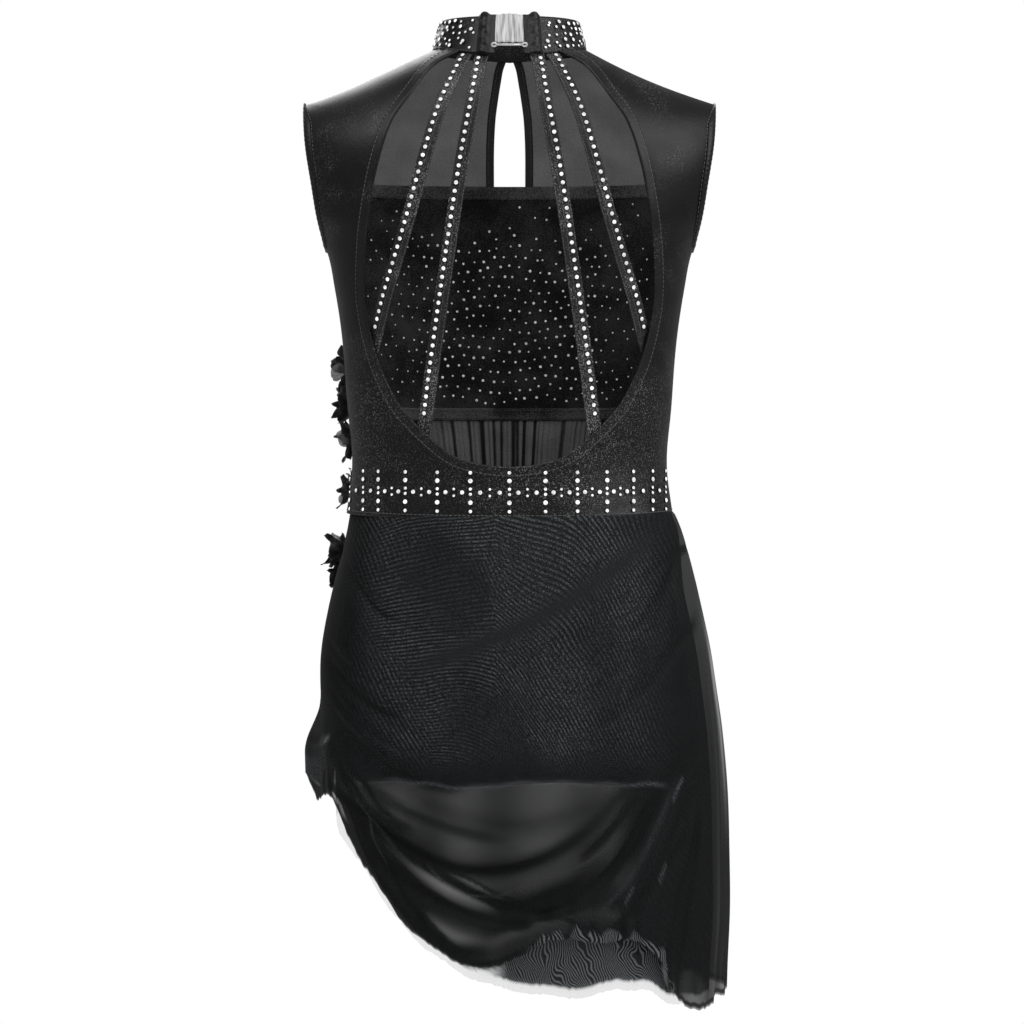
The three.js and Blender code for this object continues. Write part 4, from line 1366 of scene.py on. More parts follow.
# ---------------- knit panels
@dataclass
class KnitPanels:
    """Back and front panels of the top, their armhole bindings and their sewing."""

    body: BodyForm
    edge: OvalEdge
    front_edge: FrontEdge
    density: int = 5
    hem_width: float = 6.6
    hem_stitch: float = 5.6
    binding_from: float = 0.88
    binding_stitch: float = 0.865
    waist_stitch: float = 2.6

    def __post_init__(self) -> None:
        """Lays out both panels' forms."""
        self.back = PanelForm(self.body, Side.BACK, self.edge, (0.19, 0.42, 0.78))
        until = (0.14, 0.38, self.front_edge.side_share)
        self.front = PanelForm(self.body, Side.FRONT, self.front_edge, until)

    def soft(self, at: Patch) -> Array:
        """Slight hollows and swells of the stretched knit."""
        pull = 0.5 * np.sin(at.x * 0.055 + 1.3 * np.sin(at.z * 0.03)) * np.cos(at.z * 0.041 + 0.4)
        return pull * ease(at.v / 0.15) * ease((1 - at.v) / 0.12)

    def beside(self, along: Array, away: Array) -> Array:
        """Points of the back at a distance outside its opening."""
        return self.body.at(Side.BACK, *self.edge.beside(along, away))

    def edge_place(self, u: Array, v: Array) -> Array:
        """Points of the body under the turned edge of the opening."""
        away = np.interp(v, np.linspace(0, 1, 8), (0.3, -0.5, -0.7, 0.0, 1.3, 3.4, 5.8, self.hem_width))
        return self.beside(2 * u - 1, away)

    def edge_lift(self, at: Patch) -> Array:
        """Height of the turned edge, rolled at its rim and flat at its stitching."""
        return np.interp(at.v, np.linspace(0, 1, 8), (-1.0, -0.6, 0.1, 0.75, 0.8, 0.5, 0.35, 0.05))

    def build(self) -> None:
        """Makes the panels, their bindings and their stitches."""
        ribs = 46 * self.density
        back = Cloth("back_panel_cloth", ribs, 26, self.back.grid, self.soft, wall=1.1).build()
        dress(back, FOIL, "knit", "back_panel", cut=Cut(312, 356, Held.STRETCHED))
        front = Cloth("front_panel_cloth", ribs, 22, self.front.grid, self.soft, wall=1.1).build()
        dress(front, FOIL, "knit", "front_panel", cut=Cut(312, 356, Held.STRETCHED))
        hem = Cloth("back_opening_edge", 520, 14, self.edge_place, self.edge_lift).build()
        dress(hem, EDGE, "knit", cut=Cut(11, 800, Held.FOLDED, ("back_panel_cloth",)))
        for hand in Hand:
            self.binding(hand)
        self.sewing()

    def round_arm(self, hand: Hand, u: Array, v: Array) -> Array:
        """Points of an armhole binding, from the shoulder down the back and up the front.

        Args:
            hand: its side.
            u: shares of the way round.
            v: shares of its width.

        Returns:
            The points.
        """
        tip, pit = self.back.corners[:2]
        share = mix(self.binding_from, 1.0, v)
        behind = self.back.at(tip + 2 * (pit - tip) * np.minimum(u, 0.5), share, hand.value)
        before = self.front.at(pit - 2 * (pit - tip) * np.maximum(u - 0.5, 0), share, hand.value)
        points = np.where((u < 0.5)[:, None], behind, before)
        points[np.abs(points[:, 1]) < 0.2, 1] = 0.0
        return points

    def puckered(self, at: Patch) -> Array:
        """Lift of an armhole binding, round and puckered by its stitches."""
        pucker = 0.12 * np.sin(at.u * 2 * np.pi * 60) * ease(at.v / 0.3)
        return 0.75 + 0.75 * np.sin(np.pi * np.clip(at.v, 0.04, 0.96)) + pucker

    def binding(self, hand: Hand) -> None:
        """Makes one armhole binding."""
        name, place = f"armhole_binding_{hand.name.lower()}", partial(self.round_arm, hand)
        piece = Cloth(name + "_cloth", 240, 8, place, self.puckered, wall=0.9, closed=True).build()
        dress(piece, FOIL_TRIM, "knit", name, cut=Cut(10, 250, Held.FOLDED, ("back_panel_cloth",)))

    def sewing(self) -> None:
        """Makes the rows of stitches of both panels."""
        along = np.linspace(-0.985, 0.985, 700)
        lines = [traced(self.beside, along, np.full_like(along, self.hem_stitch), 0.45)]
        turn = np.radians(np.linspace(-88, 88, 300))
        for side in Side:
            height = self.body.waist_at(np.degrees(turn) if side is Side.BACK else 180.0) + self.waist_stitch
            height = np.broadcast_to(height, turn.shape)
            lines.append(traced(partial(self.body.turned, side), turn, height, 0.25))
        rib = np.linspace(4.1, 10.9, 160)
        for form in (self.back, self.front):
            for hand in Hand:
                arm = partial(form.at, hand=hand.value)
                lines.append(traced(arm, rib, np.full_like(rib, self.binding_stitch), 0.3))
        stitch("panel_stitches", lines)


# ---------------- front inserts
@dataclass
class FrontInserts:
    """The sheer yoke and its keyhole, the velvet bust panel between its bands, and the gathered midriff."""

    body: BodyForm
    frame_edge: FrontEdge
    bust_top: float = -86.5
    bust_bottom: float = -242.5
    band: float = 9.6
    midriff_bottom: float = -288.0
    allowance: float = 1.2
    overlap: float = 2.0
    gathers: int = 26
    keyhole: Curve = Curve((
        (12, 2.6), (6, 4.8), (-2, 6.3), (-15, 8.5), (-29, 10.4), (-50, 11.5), (-77, 11.6)))
    binding: float = 6.0
    stitched: tuple[float, float] = (2.0, 7.6)
    stone_rows: int = 20
    stone_pitch: float = 7.5
    stone_sizes: Triple = (1.0, 1.25, 1.5)

    def width(self, z: Array) -> Array:
        """Half width of the inserts at a height, with the allowance under the panel."""
        return self.frame_edge.width(z) + self.allowance

    def tucked(self, u: Array) -> Array:
        """How far the ends of an insert lie under the panel."""
        return -0.7 * ease((np.abs(2 * u - 1) - 0.97) / 0.02)

    def between(self, top: float, bottom: float, u: Array, v: Array) -> Array:
        """Points of a piece between two heights."""
        z = mix(bottom, top, v)
        return self.body.turned(Side.FRONT, self.body.angle_of(self.width(z), z) * (2 * u - 1), z)

    def rounded(self, at: Patch) -> Array:
        """Lift of a folded band, round between its stitched edges."""
        return 0.05 + 0.35 * np.sqrt(np.maximum(0, np.sin(np.pi * at.v))) + self.tucked(at.u)

    def gather(self, at: Patch) -> Array:
        """Gathers of the midriff, uneven in width and length."""
        drift = at.u + 0.006 * ripple(at.u, 5, 5, 2, 9) + 0.004 * np.sin(at.v * 4 + at.u * 20)
        large, small = np.cos(2 * np.pi * self.gathers * drift), np.cos(2 * np.pi * 61 * drift + at.v * 2)
        return (0.6 * large + 0.25 * small) * (0.5 + 0.5 * np.sin(np.pi * at.v)) - 0.8

    def pleats(self, at: Patch) -> Array:
        """How dark and close the gathers are: painted shade in the bunched cloth of the gathers, along the
        ruched middle seam and just under the band above.

        Args:
            at: the points.

        Returns:
            Shares from 0 to 1.
        """
        fan = at.u + 0.02 * (1 - at.v) * np.sin(at.u * 5 - 2.5)
        wide = 1.6 * np.maximum(0, ripple(fan, 5, 7, 14, 34) - 0.25)
        lines = wide + 0.5 * np.maximum(0, ripple(fan, 8, 6, 50, 90))
        middle = np.exp(-(at.x - 6) ** 2) + np.exp(-(at.x + 6) ** 2)
        return np.clip(lines + middle * 0.8 + 0.5 * ease((at.v - 0.9) / 0.1), 0, 1)

    def hollow(self, at: Patch) -> Array:
        """Soft unevenness of the velvet."""
        swell = 0.5 * np.sin(at.x * 0.05 + 2) * np.sin(at.z * 0.045)
        return swell * ease(at.v / 0.1) * ease((1 - at.v) / 0.1) + self.tucked(at.u)

    def build(self) -> None:
        """Makes every insert, its sewing and its stones."""
        top, foot = self.bust_top + self.band, self.bust_bottom - self.band
        place = partial(self.between, self.bust_top + self.overlap, self.bust_bottom - self.overlap)
        bust = Cloth("bust_panel_cloth", 130, 70, place, self.hollow, wall=1.3).build()
        dress(bust, VELVET, "velvet", "bust_panel", cut=Cut(285, 156, Held.STRETCHED, ("front_panel_cloth",)))
        bands = (("bust_top_band", top, self.bust_top), ("bust_bottom_band", self.bust_bottom, foot))
        for name, high, low in bands:
            place = partial(self.between, high, low)
            piece = Cloth(name + "_cloth", 140, 6, place, self.rounded, wall=1.9).build()
            dress(piece, BAND, "velvet", name, cut=Cut(285, 11, Held.FOLDED, ("bust_panel_cloth",)))
        place = partial(self.between, foot + self.overlap, self.midriff_bottom - 1.5)
        midriff = Cloth("midriff_cloth", 520, 24, place, self.gather, marks={"bunch_and_shade": self.pleats})
        dress(midriff.build(), MIDRIFF_MESH, "sheer", "midriff",
              cut=Cut(300, 36, Held.GATHERED, ("bust_bottom_band_cloth",), fullness=1.08))
        for hand in Hand:
            self.yoke_half(hand)
        self.sewing()
        self.stones()

    def yoke_heights(self, v: Array) -> Array:
        """Heights of the yoke from under the top band to the neck seam."""
        return mix(self.bust_top + self.band - self.overlap, self.body.neck_top + 1.5, v)

    def yoke(self, hand: Hand, u: Array, v: Array) -> Array:
        """Points of one half of the yoke, outside its binding."""
        z = self.yoke_heights(v)
        x = mix(self.keyhole(z) + self.binding - 1.0, self.width(z), u)
        return self.body.at(Side.FRONT, hand.value * x, np.minimum(z, self.body.shoulder(x) - 2.0))

    def slack(self, at: Patch) -> Array:
        """Soft unevenness of the yoke, whose sides lie under the panel."""
        return -0.45 + 0.25 * np.sin(at.u * 7 + at.v * 3) - 0.3 * ease((at.u - 0.94) / 0.04)

    def bound(self, hand: Hand, u: Array, v: Array) -> Array:
        """Points of one keyhole binding."""
        z = self.yoke_heights(v)
        return self.body.at(Side.FRONT, hand.value * (self.keyhole(z) + self.binding * u), z)

    def folded(self, at: Patch) -> Array:
        """Roundness of a keyhole binding."""
        return 0.25 * np.sqrt(np.maximum(0, np.sin(np.pi * at.u)))

    def yoke_half(self, hand: Hand) -> None:
        """Makes the yoke and the keyhole binding of one side.

        Args:
            hand: the side.
        """
        low = hand.name.lower()
        piece = Cloth(f"yoke_{low}_cloth", 60, 60, partial(self.yoke, hand), self.slack).build()
        dress(piece, YOKE_MESH, "sheer", f"yoke_{low}",
              cut=Cut(90, 98, Held.STRETCHED, ("front_panel_cloth",)))
        name = f"keyhole_binding_{low}"
        piece = Cloth(name + "_cloth", 8, 90, partial(self.bound, hand), self.folded, wall=1.6).build()
        dress(piece, BINDING, "knit", name, cut=Cut(10, 96, Held.FOLDED, (f"yoke_{low}_cloth",)))

    def sewing(self) -> None:
        """Makes the stitches along the bands and the keyhole, on both faces."""
        lines = []
        near, far = self.stitched
        belt, flat = partial(self.body.turned, Side.FRONT), partial(self.body.at, Side.FRONT)
        for z in (self.bust_top + far, self.bust_top + near, self.bust_bottom - near, self.bust_bottom - far):
            limit = float(self.body.angle_of(self.width(np.array(z)), z))
            angle = np.linspace(-limit, limit, 260)
            for lift, inward in ((0.6, False), (1.95, True)):
                lines.append(traced(belt, angle, np.full_like(angle, z), lift, inward))
        z = np.linspace(-75, 9, 120)
        for hand in Hand:
            for lift, inward in ((0.3, False), (1.65, True)):
                x = hand.value * (self.keyhole(z) + self.binding * 0.75)
                lines.append(traced(flat, x, z, lift, inward))
        stitch("insert_stitches", lines, pitch=2.9, long=1.9, thick=0.42)

    def stones(self) -> None:
        """Makes the stones on the bust's face, and the dull glue dots behind them, both with a painted glow.
        """
        rng = np.random.default_rng(11)
        across, down, sizes = [], [], []
        for row in range(self.stone_rows):
            z = self.bust_top - 7 - row * self.stone_pitch
            for k in range(-14, 15):
                x = (k + 0.5 * (row % 2)) * self.stone_pitch * 1.02 + rng.normal(0, 0.8)
                edge = abs(x) / float(self.width(np.array(z)))
                keep = 1.0 if row > 4 else 0.1 + 0.18 * row
                if edge > 0.93 or rng.random() > keep * (1.0 if edge < 0.6 else 1.55 - 1.05 * edge):
                    continue
                across.append(x)
                down.append(z + 2.4 * math.sin(0.09 * x + 0.3 * row) + rng.normal(0, 0.6))
                size = rng.choice(self.stone_sizes, p=[0.35, 0.4, 0.25])
                sizes.append(size * (1.0 if edge < 0.6 else 0.75))
        x, z, size = np.array(across), np.array(down), np.array(sizes)
        flat = partial(self.body.at, Side.FRONT)
        StoneScatter("bust_stones").set_on(surface_spots(flat, x, z, 0.1, size), "velvet")
        behind = surface_spots(flat, x, z, 1.45, size * 0.85, inward=True)
        StoneScatter("bust_glue_dots", (1, 1, 0.5), sides=6).set_on(behind, "velvet", DOT)


# ---------------- straps
@dataclass
class Straps:
    """Four straps of the open back, each with a row of stones along its outer edge."""

    body: BodyForm
    width: float = 10.0
    tuck: float = 2.2
    pitch: float = 6.05
    outer: Curve = Curve(((3, 31.5), (-32, 47), (-66, 57.5), (-119, 72), (-177, 90), (-207, 99.5)))
    inner: Curve = Curve(((2, 20), (-32, 25.5), (-74, 33), (-154, 45), (-243, 57.6), (-275, 62.5)))
    outer_foot: float = -207.0
    inner_foot: float = -275.0
    fold: float = 0.46
    stitched: tuple[float, float] = (0.06, 0.40)
    stone_line: float = 0.66
    stone: float = 1.75

    def face(self, line: Curve, foot: float, hand: Hand, u: Array, v: Array) -> Array:
        """Points of one strap's face.

        Args:
            line: the strap's middle line.
            foot: height of its lower end.
            hand: its side.
            u: shares across.
            v: shares of the way down.

        Returns:
            The points.
        """
        across = (u - 0.5) * self.width
        z = mix(self.body.neck(Side.BACK, line(3.0) + across) + 1.5, foot, v)
        lean = np.arctan2(line(z - 4) - line(z + 4), 8)
        x = line(z) + across * np.cos(lean)
        return self.body.at(Side.BACK, hand.value * x, z + across * np.sin(lean) * v)

    def dip(self, v: Array) -> Array:
        """How far the strap's ends go under the panel and the collar."""
        return -self.tuck * ease((v - 0.8) / 0.15) - 1.2 * ease((0.03 - v) / 0.02)

    def lift(self, at: Patch) -> Array:
        """Lift of a strap, a step higher on the doubled side of its fold."""
        return self.dip(at.v) + 0.25 * (at.u < self.fold) - 0.12 * np.exp(-((at.u - self.fold) / 0.06) ** 2)

    def along(self, place: Surface, share: float, lift: float) -> tuple[Array, Array]:
        """Points and normals of a line down a strap."""
        v = np.linspace(0.01, 0.93, 300)
        points, normals = traced(place, np.full_like(v, share), v, lift)
        return points + normals * self.dip(v)[:, None], normals

    def build(self) -> None:
        """Makes the straps, their stones and their stitches."""
        lines, stones = [], []
        pairs = (("outer", self.outer, self.outer_foot), ("inner", self.inner, self.inner_foot))
        for kind, line, foot in pairs:
            for hand in Hand:
                name, place = f"strap_{kind}_{hand.name.lower()}", partial(self.face, line, foot, hand)
                piece = Cloth(name + "_cloth", 12, 160, place, self.lift, wall=1.1).build()
                cut = Cut(10.5, 22 - foot, Held.FOLDED, ("back_panel_cloth",))
                dress(piece, GLITTER, "knit", name, cut=cut)
                lines += [self.along(place, share, 0.35) for share in self.stitched]
                points, normals = self.along(place, self.stone_line, 0.05)
                stones += path_spots(points, normals, self.pitch, self.stone)
        stitch("strap_stitches", lines, pitch=2.4, long=1.5, thick=0.4)
        StoneScatter("strap_stones").set_on(stones, "knit")


# ---------------- collar and its closure
@dataclass
class Collar:
    """The stand collar with its stones, and the folded casings, elastic and bar at the nape."""

    body: BodyForm
    top_half: float = 50.0
    top_depth: float = 46.0
    top_back: float = 31.0
    top_side: float = 32.0
    gap: float = 15.0
    casing_out: float = 23.0
    casing_in: float = 10.3
    bar_half: float = 10.8
    bar_height: float = 9.0
    bar_out: float = 4.2
    rod_radius: float = 0.8
    rod_short: float = 3.0
    ring_radius: float = 1.7
    ring_wire: float = 0.65
    ring_tilt: float = 0.65
    stone_rows: tuple[float, ...] = (0.15, 0.33, 0.52, 0.70, 0.87)
    big: tuple[float, float] = (1.7, 8.0)
    small: tuple[float, float] = (1.15, 6.0)
    stitched: Pairs = ((0.06, 0.15), (0.93, 0.45))

    def at(self, angle: Array, share: Array) -> Array:
        """Points of the collar.

        Args:
            angle: 0 at the back, growing towards the right.
            share: 0 at the neck seam, 1 at the top.

        Returns:
            The points.
        """
        angle, share = np.broadcast_arrays(np.asarray(angle, dtype=float), np.asarray(share, dtype=float))
        behind = np.cos(angle) > 0
        x = self.body.neck_half * np.sin(angle)
        foot_back = self.body.at(Side.BACK, x, self.body.neck(Side.BACK, x))
        foot_front = self.body.at(Side.FRONT, x, self.body.neck(Side.FRONT, x))
        foot = np.where(behind[..., None], foot_back, foot_front)
        foot[..., 2] -= 0.4
        head = spots(self.top_half * np.sin(angle), -self.top_depth * np.cos(angle),
                     mix(self.top_side, self.top_back, np.cos(angle) ** 2))
        return mix(foot, head, share[..., None])

    def angle(self, x: Array | float) -> Array:
        """The angle at which the neck seam is as wide as x."""
        return np.arcsin(np.asarray(x) / self.body.neck_half)

    def band(self, u: Array, v: Array) -> Array:
        """Points of the collar from its right end round to its left one."""
        start = float(self.angle(self.gap))
        return self.at(mix(start, 2 * np.pi - start, u), v)

    def soft(self, at: Patch) -> Array:
        """Slight waves of the collar, and its rolled top."""
        return 0.35 * np.sin(at.u * 60) * np.sin(np.pi * at.v) + 0.5 * ease((at.v - 0.86) / 0.14) - 0.1

    def build(self) -> None:
        """Makes the collar and everything on it."""
        collar = Cloth("collar_cloth", 300, 22, self.band, self.soft, wall=1.9).build()
        dress(collar, FOIL, "knit", "collar", cut=Cut(330, 33, Held.STRETCHED, ("front_panel_cloth",)))
        for hand in Hand:
            self.casing(hand)
        self.elastic()
        self.bar()
        self.stones()
        start = float(self.angle(self.gap)) + 0.15
        angle = np.linspace(start, 2 * np.pi - start, 500)
        lines = [traced(self.at, angle, np.full_like(angle, share), lift) for share, lift in self.stitched]
        stitch("collar_stitches", lines, pitch=2.6, long=1.7, thick=0.4)

    def casing_place(self, hand: Hand, u: Array, v: Array) -> Array:
        """Points of a casing, whose puffed part stands a little higher than the collar.

        Args:
            hand: its side.
            u: shares from its outer end to its flap.
            v: shares of the way up.

        Returns:
            The points.
        """
        x = mix(self.casing_out, self.casing_in, u)
        points = self.at(hand.value * self.angle(x), v)
        points[:, 2] += 1.6 * v * (0.2 + 0.8 * np.maximum(0, self.puff(x)) ** 3)
        return points

    def casing_lift(self, at: Patch) -> Array:
        """Lift of a casing, with the creases of its puffed part."""
        puff = self.puff(mix(self.casing_out, self.casing_in, at.u))
        creases = (0.3 * np.sin(at.v * 19 + at.u * 4) + 0.12 * np.sin(at.v * 43 - at.u * 5)) * puff
        return 1.5 + 2.0 * np.maximum(0, puff) + creases

    def casing(self, hand: Hand) -> None:
        """Makes one folded casing, puffed over the collar's end, with its flap to the elastic."""
        name, place = f"neck_casing_{hand.name.lower()}", partial(self.casing_place, hand)
        piece = Cloth(name + "_cloth", 40, 40, place, self.casing_lift, wall=1.0).build()
        dress(piece, FOIL_TRIM, "knit", name, cut=Cut(16, 34, Held.FOLDED, ("collar_cloth",)))

    def puff(self, x: Array) -> Array:
        """Roundness of the casing at a width, 0 on the flap."""
        rise = np.sin(np.pi * (self.casing_out - x) / (self.casing_out - self.gap + 1))
        return np.where(x > self.gap - 1, rise, 0.0)

    def tab(self, u: Array, v: Array) -> Array:
        """Points of the elastic, its top a little arched."""
        points = self.at(self.angle(mix(-10.0, 10.0, u)), mix(0.3, 1.0, v))
        points[:, 2] += 0.8 * np.sin(np.pi * u) * v
        return points

    def ribs(self, at: Patch) -> Array:
        """Lift of the elastic's gathers."""
        large = 0.45 * np.cos(8 * np.pi * at.u + 0.5 * np.sin(3 * at.v))
        return 1.5 + large + 0.15 * np.cos(34 * np.pi * at.u)

    def elastic(self) -> None:
        """Makes the pale gathered elastic between the casings."""
        piece = Cloth("neck_elastic_cloth", 120, 24, self.tab, self.ribs, wall=1.0).build()
        dress(piece, ELASTIC, "elastic", "neck_elastic",
              cut=Cut(26, 22, Held.GATHERED, ("neck_casing_left_cloth",), fullness=1.05))

    def bar(self) -> None:
        """Makes the metal bar with a ring at each end."""
        where = self.at(self.angle(self.bar_half), 0.22)[1] - self.bar_out
        rod, thick = bmesh.new(), self.rod_radius * MM
        bmesh.ops.create_cone(rod, cap_ends=True, segments=16, radius1=thick, radius2=thick,
                              depth=(2 * self.bar_half - self.rod_short) * MM,
                              matrix=Matrix.Rotation(math.pi / 2, 4, "Y"))
        axis = (0, math.sin(self.ring_tilt), math.cos(self.ring_tilt))
        tilt = Matrix.Rotation(math.pi / 2 - self.ring_tilt, 4, "X")
        for sign in (-1, 1):
            start = Matrix.Translation(((sign * self.bar_half + self.ring_radius) * MM, 0, 0)) @ tilt
            ring = bmesh.ops.create_circle(rod, segments=10, radius=self.ring_wire * MM, matrix=start)
            edges = list({edge for vert in ring["verts"] for edge in vert.link_edges})
            bmesh.ops.spin(rod, geom=ring["verts"] + edges, cent=(sign * self.bar_half * MM, 0, 0), axis=axis,
                           angle=2 * math.pi, steps=26, use_merge=True)
        bmesh.ops.translate(rod, verts=rod.verts, vec=(0, where * MM, self.bar_height * MM))
        bmesh.ops.remove_doubles(rod, verts=rod.verts, dist=1e-6)
        bmesh.ops.recalc_face_normals(rod, faces=rod.faces)
        piece = solid("neck_bar_metal", rod)
        piece.data.shade_smooth()
        dress(piece, NICKEL, "metal", "neck_bar")

    def stones(self) -> None:
        """Sets the collar's stones in uneven rows, denser towards the sides."""
        rng = np.random.default_rng(23)
        start = float(self.angle(self.casing_out + 2.5))
        turns, shares, sizes = [], [], []
        for row, share in enumerate(self.stone_rows):
            angle = start + 0.03 * row
            while angle < 2 * np.pi - start:
                size, step = self.big if rng.random() < 0.5 else self.small
                turns.append(angle + rng.normal(0, 0.02))
                shares.append(share + rng.normal(0, 0.035))
                sizes.append(size)
                angle += step / 52.0 * rng.uniform(0.85, 1.35)
        places = surface_spots(self.at, np.array(turns), np.array(shares), 0.35, np.array(sizes))
        StoneScatter("collar_stones").set_on(places, "knit")


# ---------------- waist motif
@dataclass
class WaistMotif:
    """A belt of upright crosses of stones, joined by a running row, round the waist."""

    body: BodyForm
    crosses: tuple[float, ...] = (-114, -103.6, -92.5, -73.1, -50.5, -27.3, 0, 25.2, 47.6, 68.5, 87.4, 101.4,
                                  111.3)
    steps: tuple[float, ...] = (-292.4, -298.2, -303.9, -307.6, -313.4, -319.6)
    sizes: tuple[float, ...] = (1.55, 1.95, 1.35, 1.35, 1.95, 1.5)
    row: float = -306.3
    row_size: float = 1.8
    pair: float = 2.3
    pair_size: float = 1.1
    wide_gap: float = 14.0

    def rise(self, x: Array) -> Array:
        """How much higher the row runs at the sides than in the middle."""
        return 2.2 * (np.abs(x) / 116) ** 2

    def stones(self) -> list[Triple]:
        """Width, height and size of every stone of one half of the belt.

        Returns:
            The stones: the crosses, then the row, with a pair in the middle of each wide gap.
        """
        plan = [(x, z, size) for x in self.crosses for z, size in zip(self.steps, self.sizes)]
        for left, right in zip(self.crosses, self.crosses[1:]):
            gap = right - left
            wide = gap > self.wide_gap
            for part in ((0.25, 0.5, 0.75) if wide else (0.5,)):
                x = left + gap * part
                if part == 0.5 and wide:
                    plan += [(x, self.row + away, self.pair_size) for away in (self.pair, -self.pair)]
                else:
                    plan.append((x, self.row, self.row_size))
        return plan

    def build(self) -> None:
        """Sets the crosses and the row between them, behind and in front."""
        x, z, size = np.array(self.stones()).T
        angle, height = self.body.angle_of(x, z), z + self.rise(x)
        places = [spot for side in Side
                  for spot in surface_spots(partial(self.body.turned, side), angle, height, 0.1, size)]
        StoneScatter("waist_stones").set_on(places, "knit")


# ---------------- skirt
@dataclass(frozen=True)
class Layer:
    """The back or front half of one layer of the skirt.

    span holds its first and last angle, in degrees from centre back; seed is that of its raw hem.
    """

    form: SkirtForm
    name: str
    tier: Tier
    span: tuple[float, float]
    grid: tuple[int, int]
    cut: Cut
    seed: int = 0
    creased: Triple = (1.0, 0.35, 0.0)
    lining_wall: float = 0.8

    def turn(self, u: Array) -> Array:
        """Angles of shares of the way round."""
        return mix(*self.span, u)

    def hem(self, turn: Array) -> Array:
        """Height of the hem at angles."""
        form = self.form
        return (form.outer_hem, form.inner_hem, form.lining_edge)[self.tier.value](turn)

    def ragged(self, turn: Array, v: Array) -> Array:
        """Unevenness of a raw hem, which grows towards the hem.

        Args:
            turn: angles.
            v: shares of the way down.

        Returns:
            Moves up and down.
        """
        near = ease((v - 0.9) / 0.1)
        slow = 2.2 * ripple(turn / 360, self.seed, 6, 6, 24)
        quick = 0.7 * ripple(turn / 360, self.seed + 1, 8, 60, 190)
        torn = 3.5 * np.maximum(0, ripple(turn / 360, self.seed + 2, 5, 20, 60) - 0.55)
        return near * (slow + quick + torn)

    def place(self, u: Array, v: Array) -> Array:
        """Points of the plain form, from the waist seam to the hem.

        Args:
            u: shares of the way round.
            v: shares of the way down.

        Returns:
            The points.
        """
        turn = self.turn(u)
        z = mix(self.form.body.waist_at(turn) + 2.5, self.hem(turn), v)
        if self.tier is not Tier.LINING:
            z = z + self.ragged(turn, v)
        return self.form.at(turn, z)

    def lift(self, at: Patch) -> Array:
        """How far swags, creases and gathers move the cloth from the plain form.

        Args:
            at: the points.

        Returns:
            The moves along the normals.
        """
        form, number, outer = self.form, self.tier.value, self.tier is Tier.OUTER
        turn, x, z = self.turn(at.u), at.x, at.z
        main = form.folds(turn, x, z) * outer
        small = form.behind(turn) * sum(fold.depth * fold.weight(x, z) for fold in CREASES)
        seam = 1.3 * ease((z - form.body.waist_at(turn)) / 1.2)
        tucks = 0.35 * ripple(turn / 360, 41 + number, 7, 40, 110) * ease(at.v / 0.02)
        tucks = tucks * ease((0.16 - at.v) / 0.16)
        flutter = 1.3 * ripple(turn / 360, 51 + number, 6, 18, 60) * ease((at.v - 0.82) / 0.18)
        zone = ease((turn - 3) / 6) * ease((52 - turn) / 6) * np.exp(-((z - self.hem(turn) - 9) / 9) ** 2)
        pucker = outer * zone * 1.5 * ripple(turn / 360, 77, 5, 70, 130)
        shape = self.creased[number] * (main + small + flutter) + pucker
        return shape * form.below(turn, z) + tucks - seam - form.inset(self.tier, turn, z)

    def thin(self, at: Patch) -> Array:
        """How thin the cloth looks: at its raw edge, and where the inner tulle hangs single.

        Args:
            at: the points.

        Returns:
            Shares from 0 to 1.
        """
        if self.tier is Tier.OUTER:
            return 0.4 * ease((at.v - 0.994) / 0.005)
        if self.tier is Tier.LINING:
            return ease((at.v - 0.982) / 0.01)
        turn, z = self.turn(at.u), at.z
        doubled = ease((turn + 10) / 10) * ease((70 - turn) / 8)
        single = ease((self.form.outer_hem(turn) - z - 1) / 3) * (1 - doubled)
        return np.maximum(single, ease((at.v - 0.976) / 0.01))

    def fanned(self, x: Array, z: Array) -> Array:
        """The pleats that fan out from the wearer's left hip down to the flare, 0 between and 1 in them."""
        fan = np.arctan2(x + 116, np.maximum(-432 - z, 4))
        return np.clip(0.5 + 0.7 * np.sin(fan * 33 + 0.8) + 0.4 * np.sin(fan * 79), 0, 1)

    def smooth(self, at: Patch) -> Array:
        """Where the net is doubled and smooth, without watered lines, and a lighter sheen is painted."""
        return SHEEN.weight(at.x, at.z) * self.form.behind(self.turn(at.u))

    def grain(self, at: Patch) -> Array:
        """Where the inner net, doubled on itself, shows below the outer one and through its puckered hem.

        Args:
            at: the points.

        Returns:
            Shares from 0 to 1.
        """
        turn = self.turn(at.u)
        zone = self.form.behind(turn) * ease((turn + 15) / 6) * ease((51 - turn) / 4)
        above = at.z - self.form.outer_hem(turn)
        if self.tier is not Tier.OUTER:
            return zone * ease((4 - above) / 5)
        puckers = 7 + 5 * ripple(turn / 360, 92, 5, 40, 120)
        return zone * ease((turn - 2) / 10) * ease((puckers - above) / 4)

    def gleam(self, at: Patch) -> Array:
        """Where a highlight is painted on the outer tulle where it catches the light: along short creases,
        over the underskirt's hem and between the pleats of the flare.

        Args:
            at: the points.

        Returns:
            Shares from 0 to 1.
        """
        turn, x, z = self.turn(at.u), at.x, at.z
        if self.tier is not Tier.OUTER:
            return np.zeros_like(x)
        creases = sum(fold.shade * fold.weight(x, z) for fold in GLEAMS)
        wavy = self.form.lining_edge(turn) + 0.8 + 0.8 * np.sin(x * 0.21) + 0.6 * np.sin(x * 0.083 + 1)
        hem = 0.55 * np.exp(-((z - wavy) / 1.1) ** 2) * ease((x + 92) / 10) * ease((116 - x) / 8)
        flare = 0.3 * ease((-x - 124) / 8) * ease((-z - 472) / 16) * (1 - self.fanned(x, z))
        return np.clip(self.form.behind(turn) * (creases + hem) + flare, 0, 1)

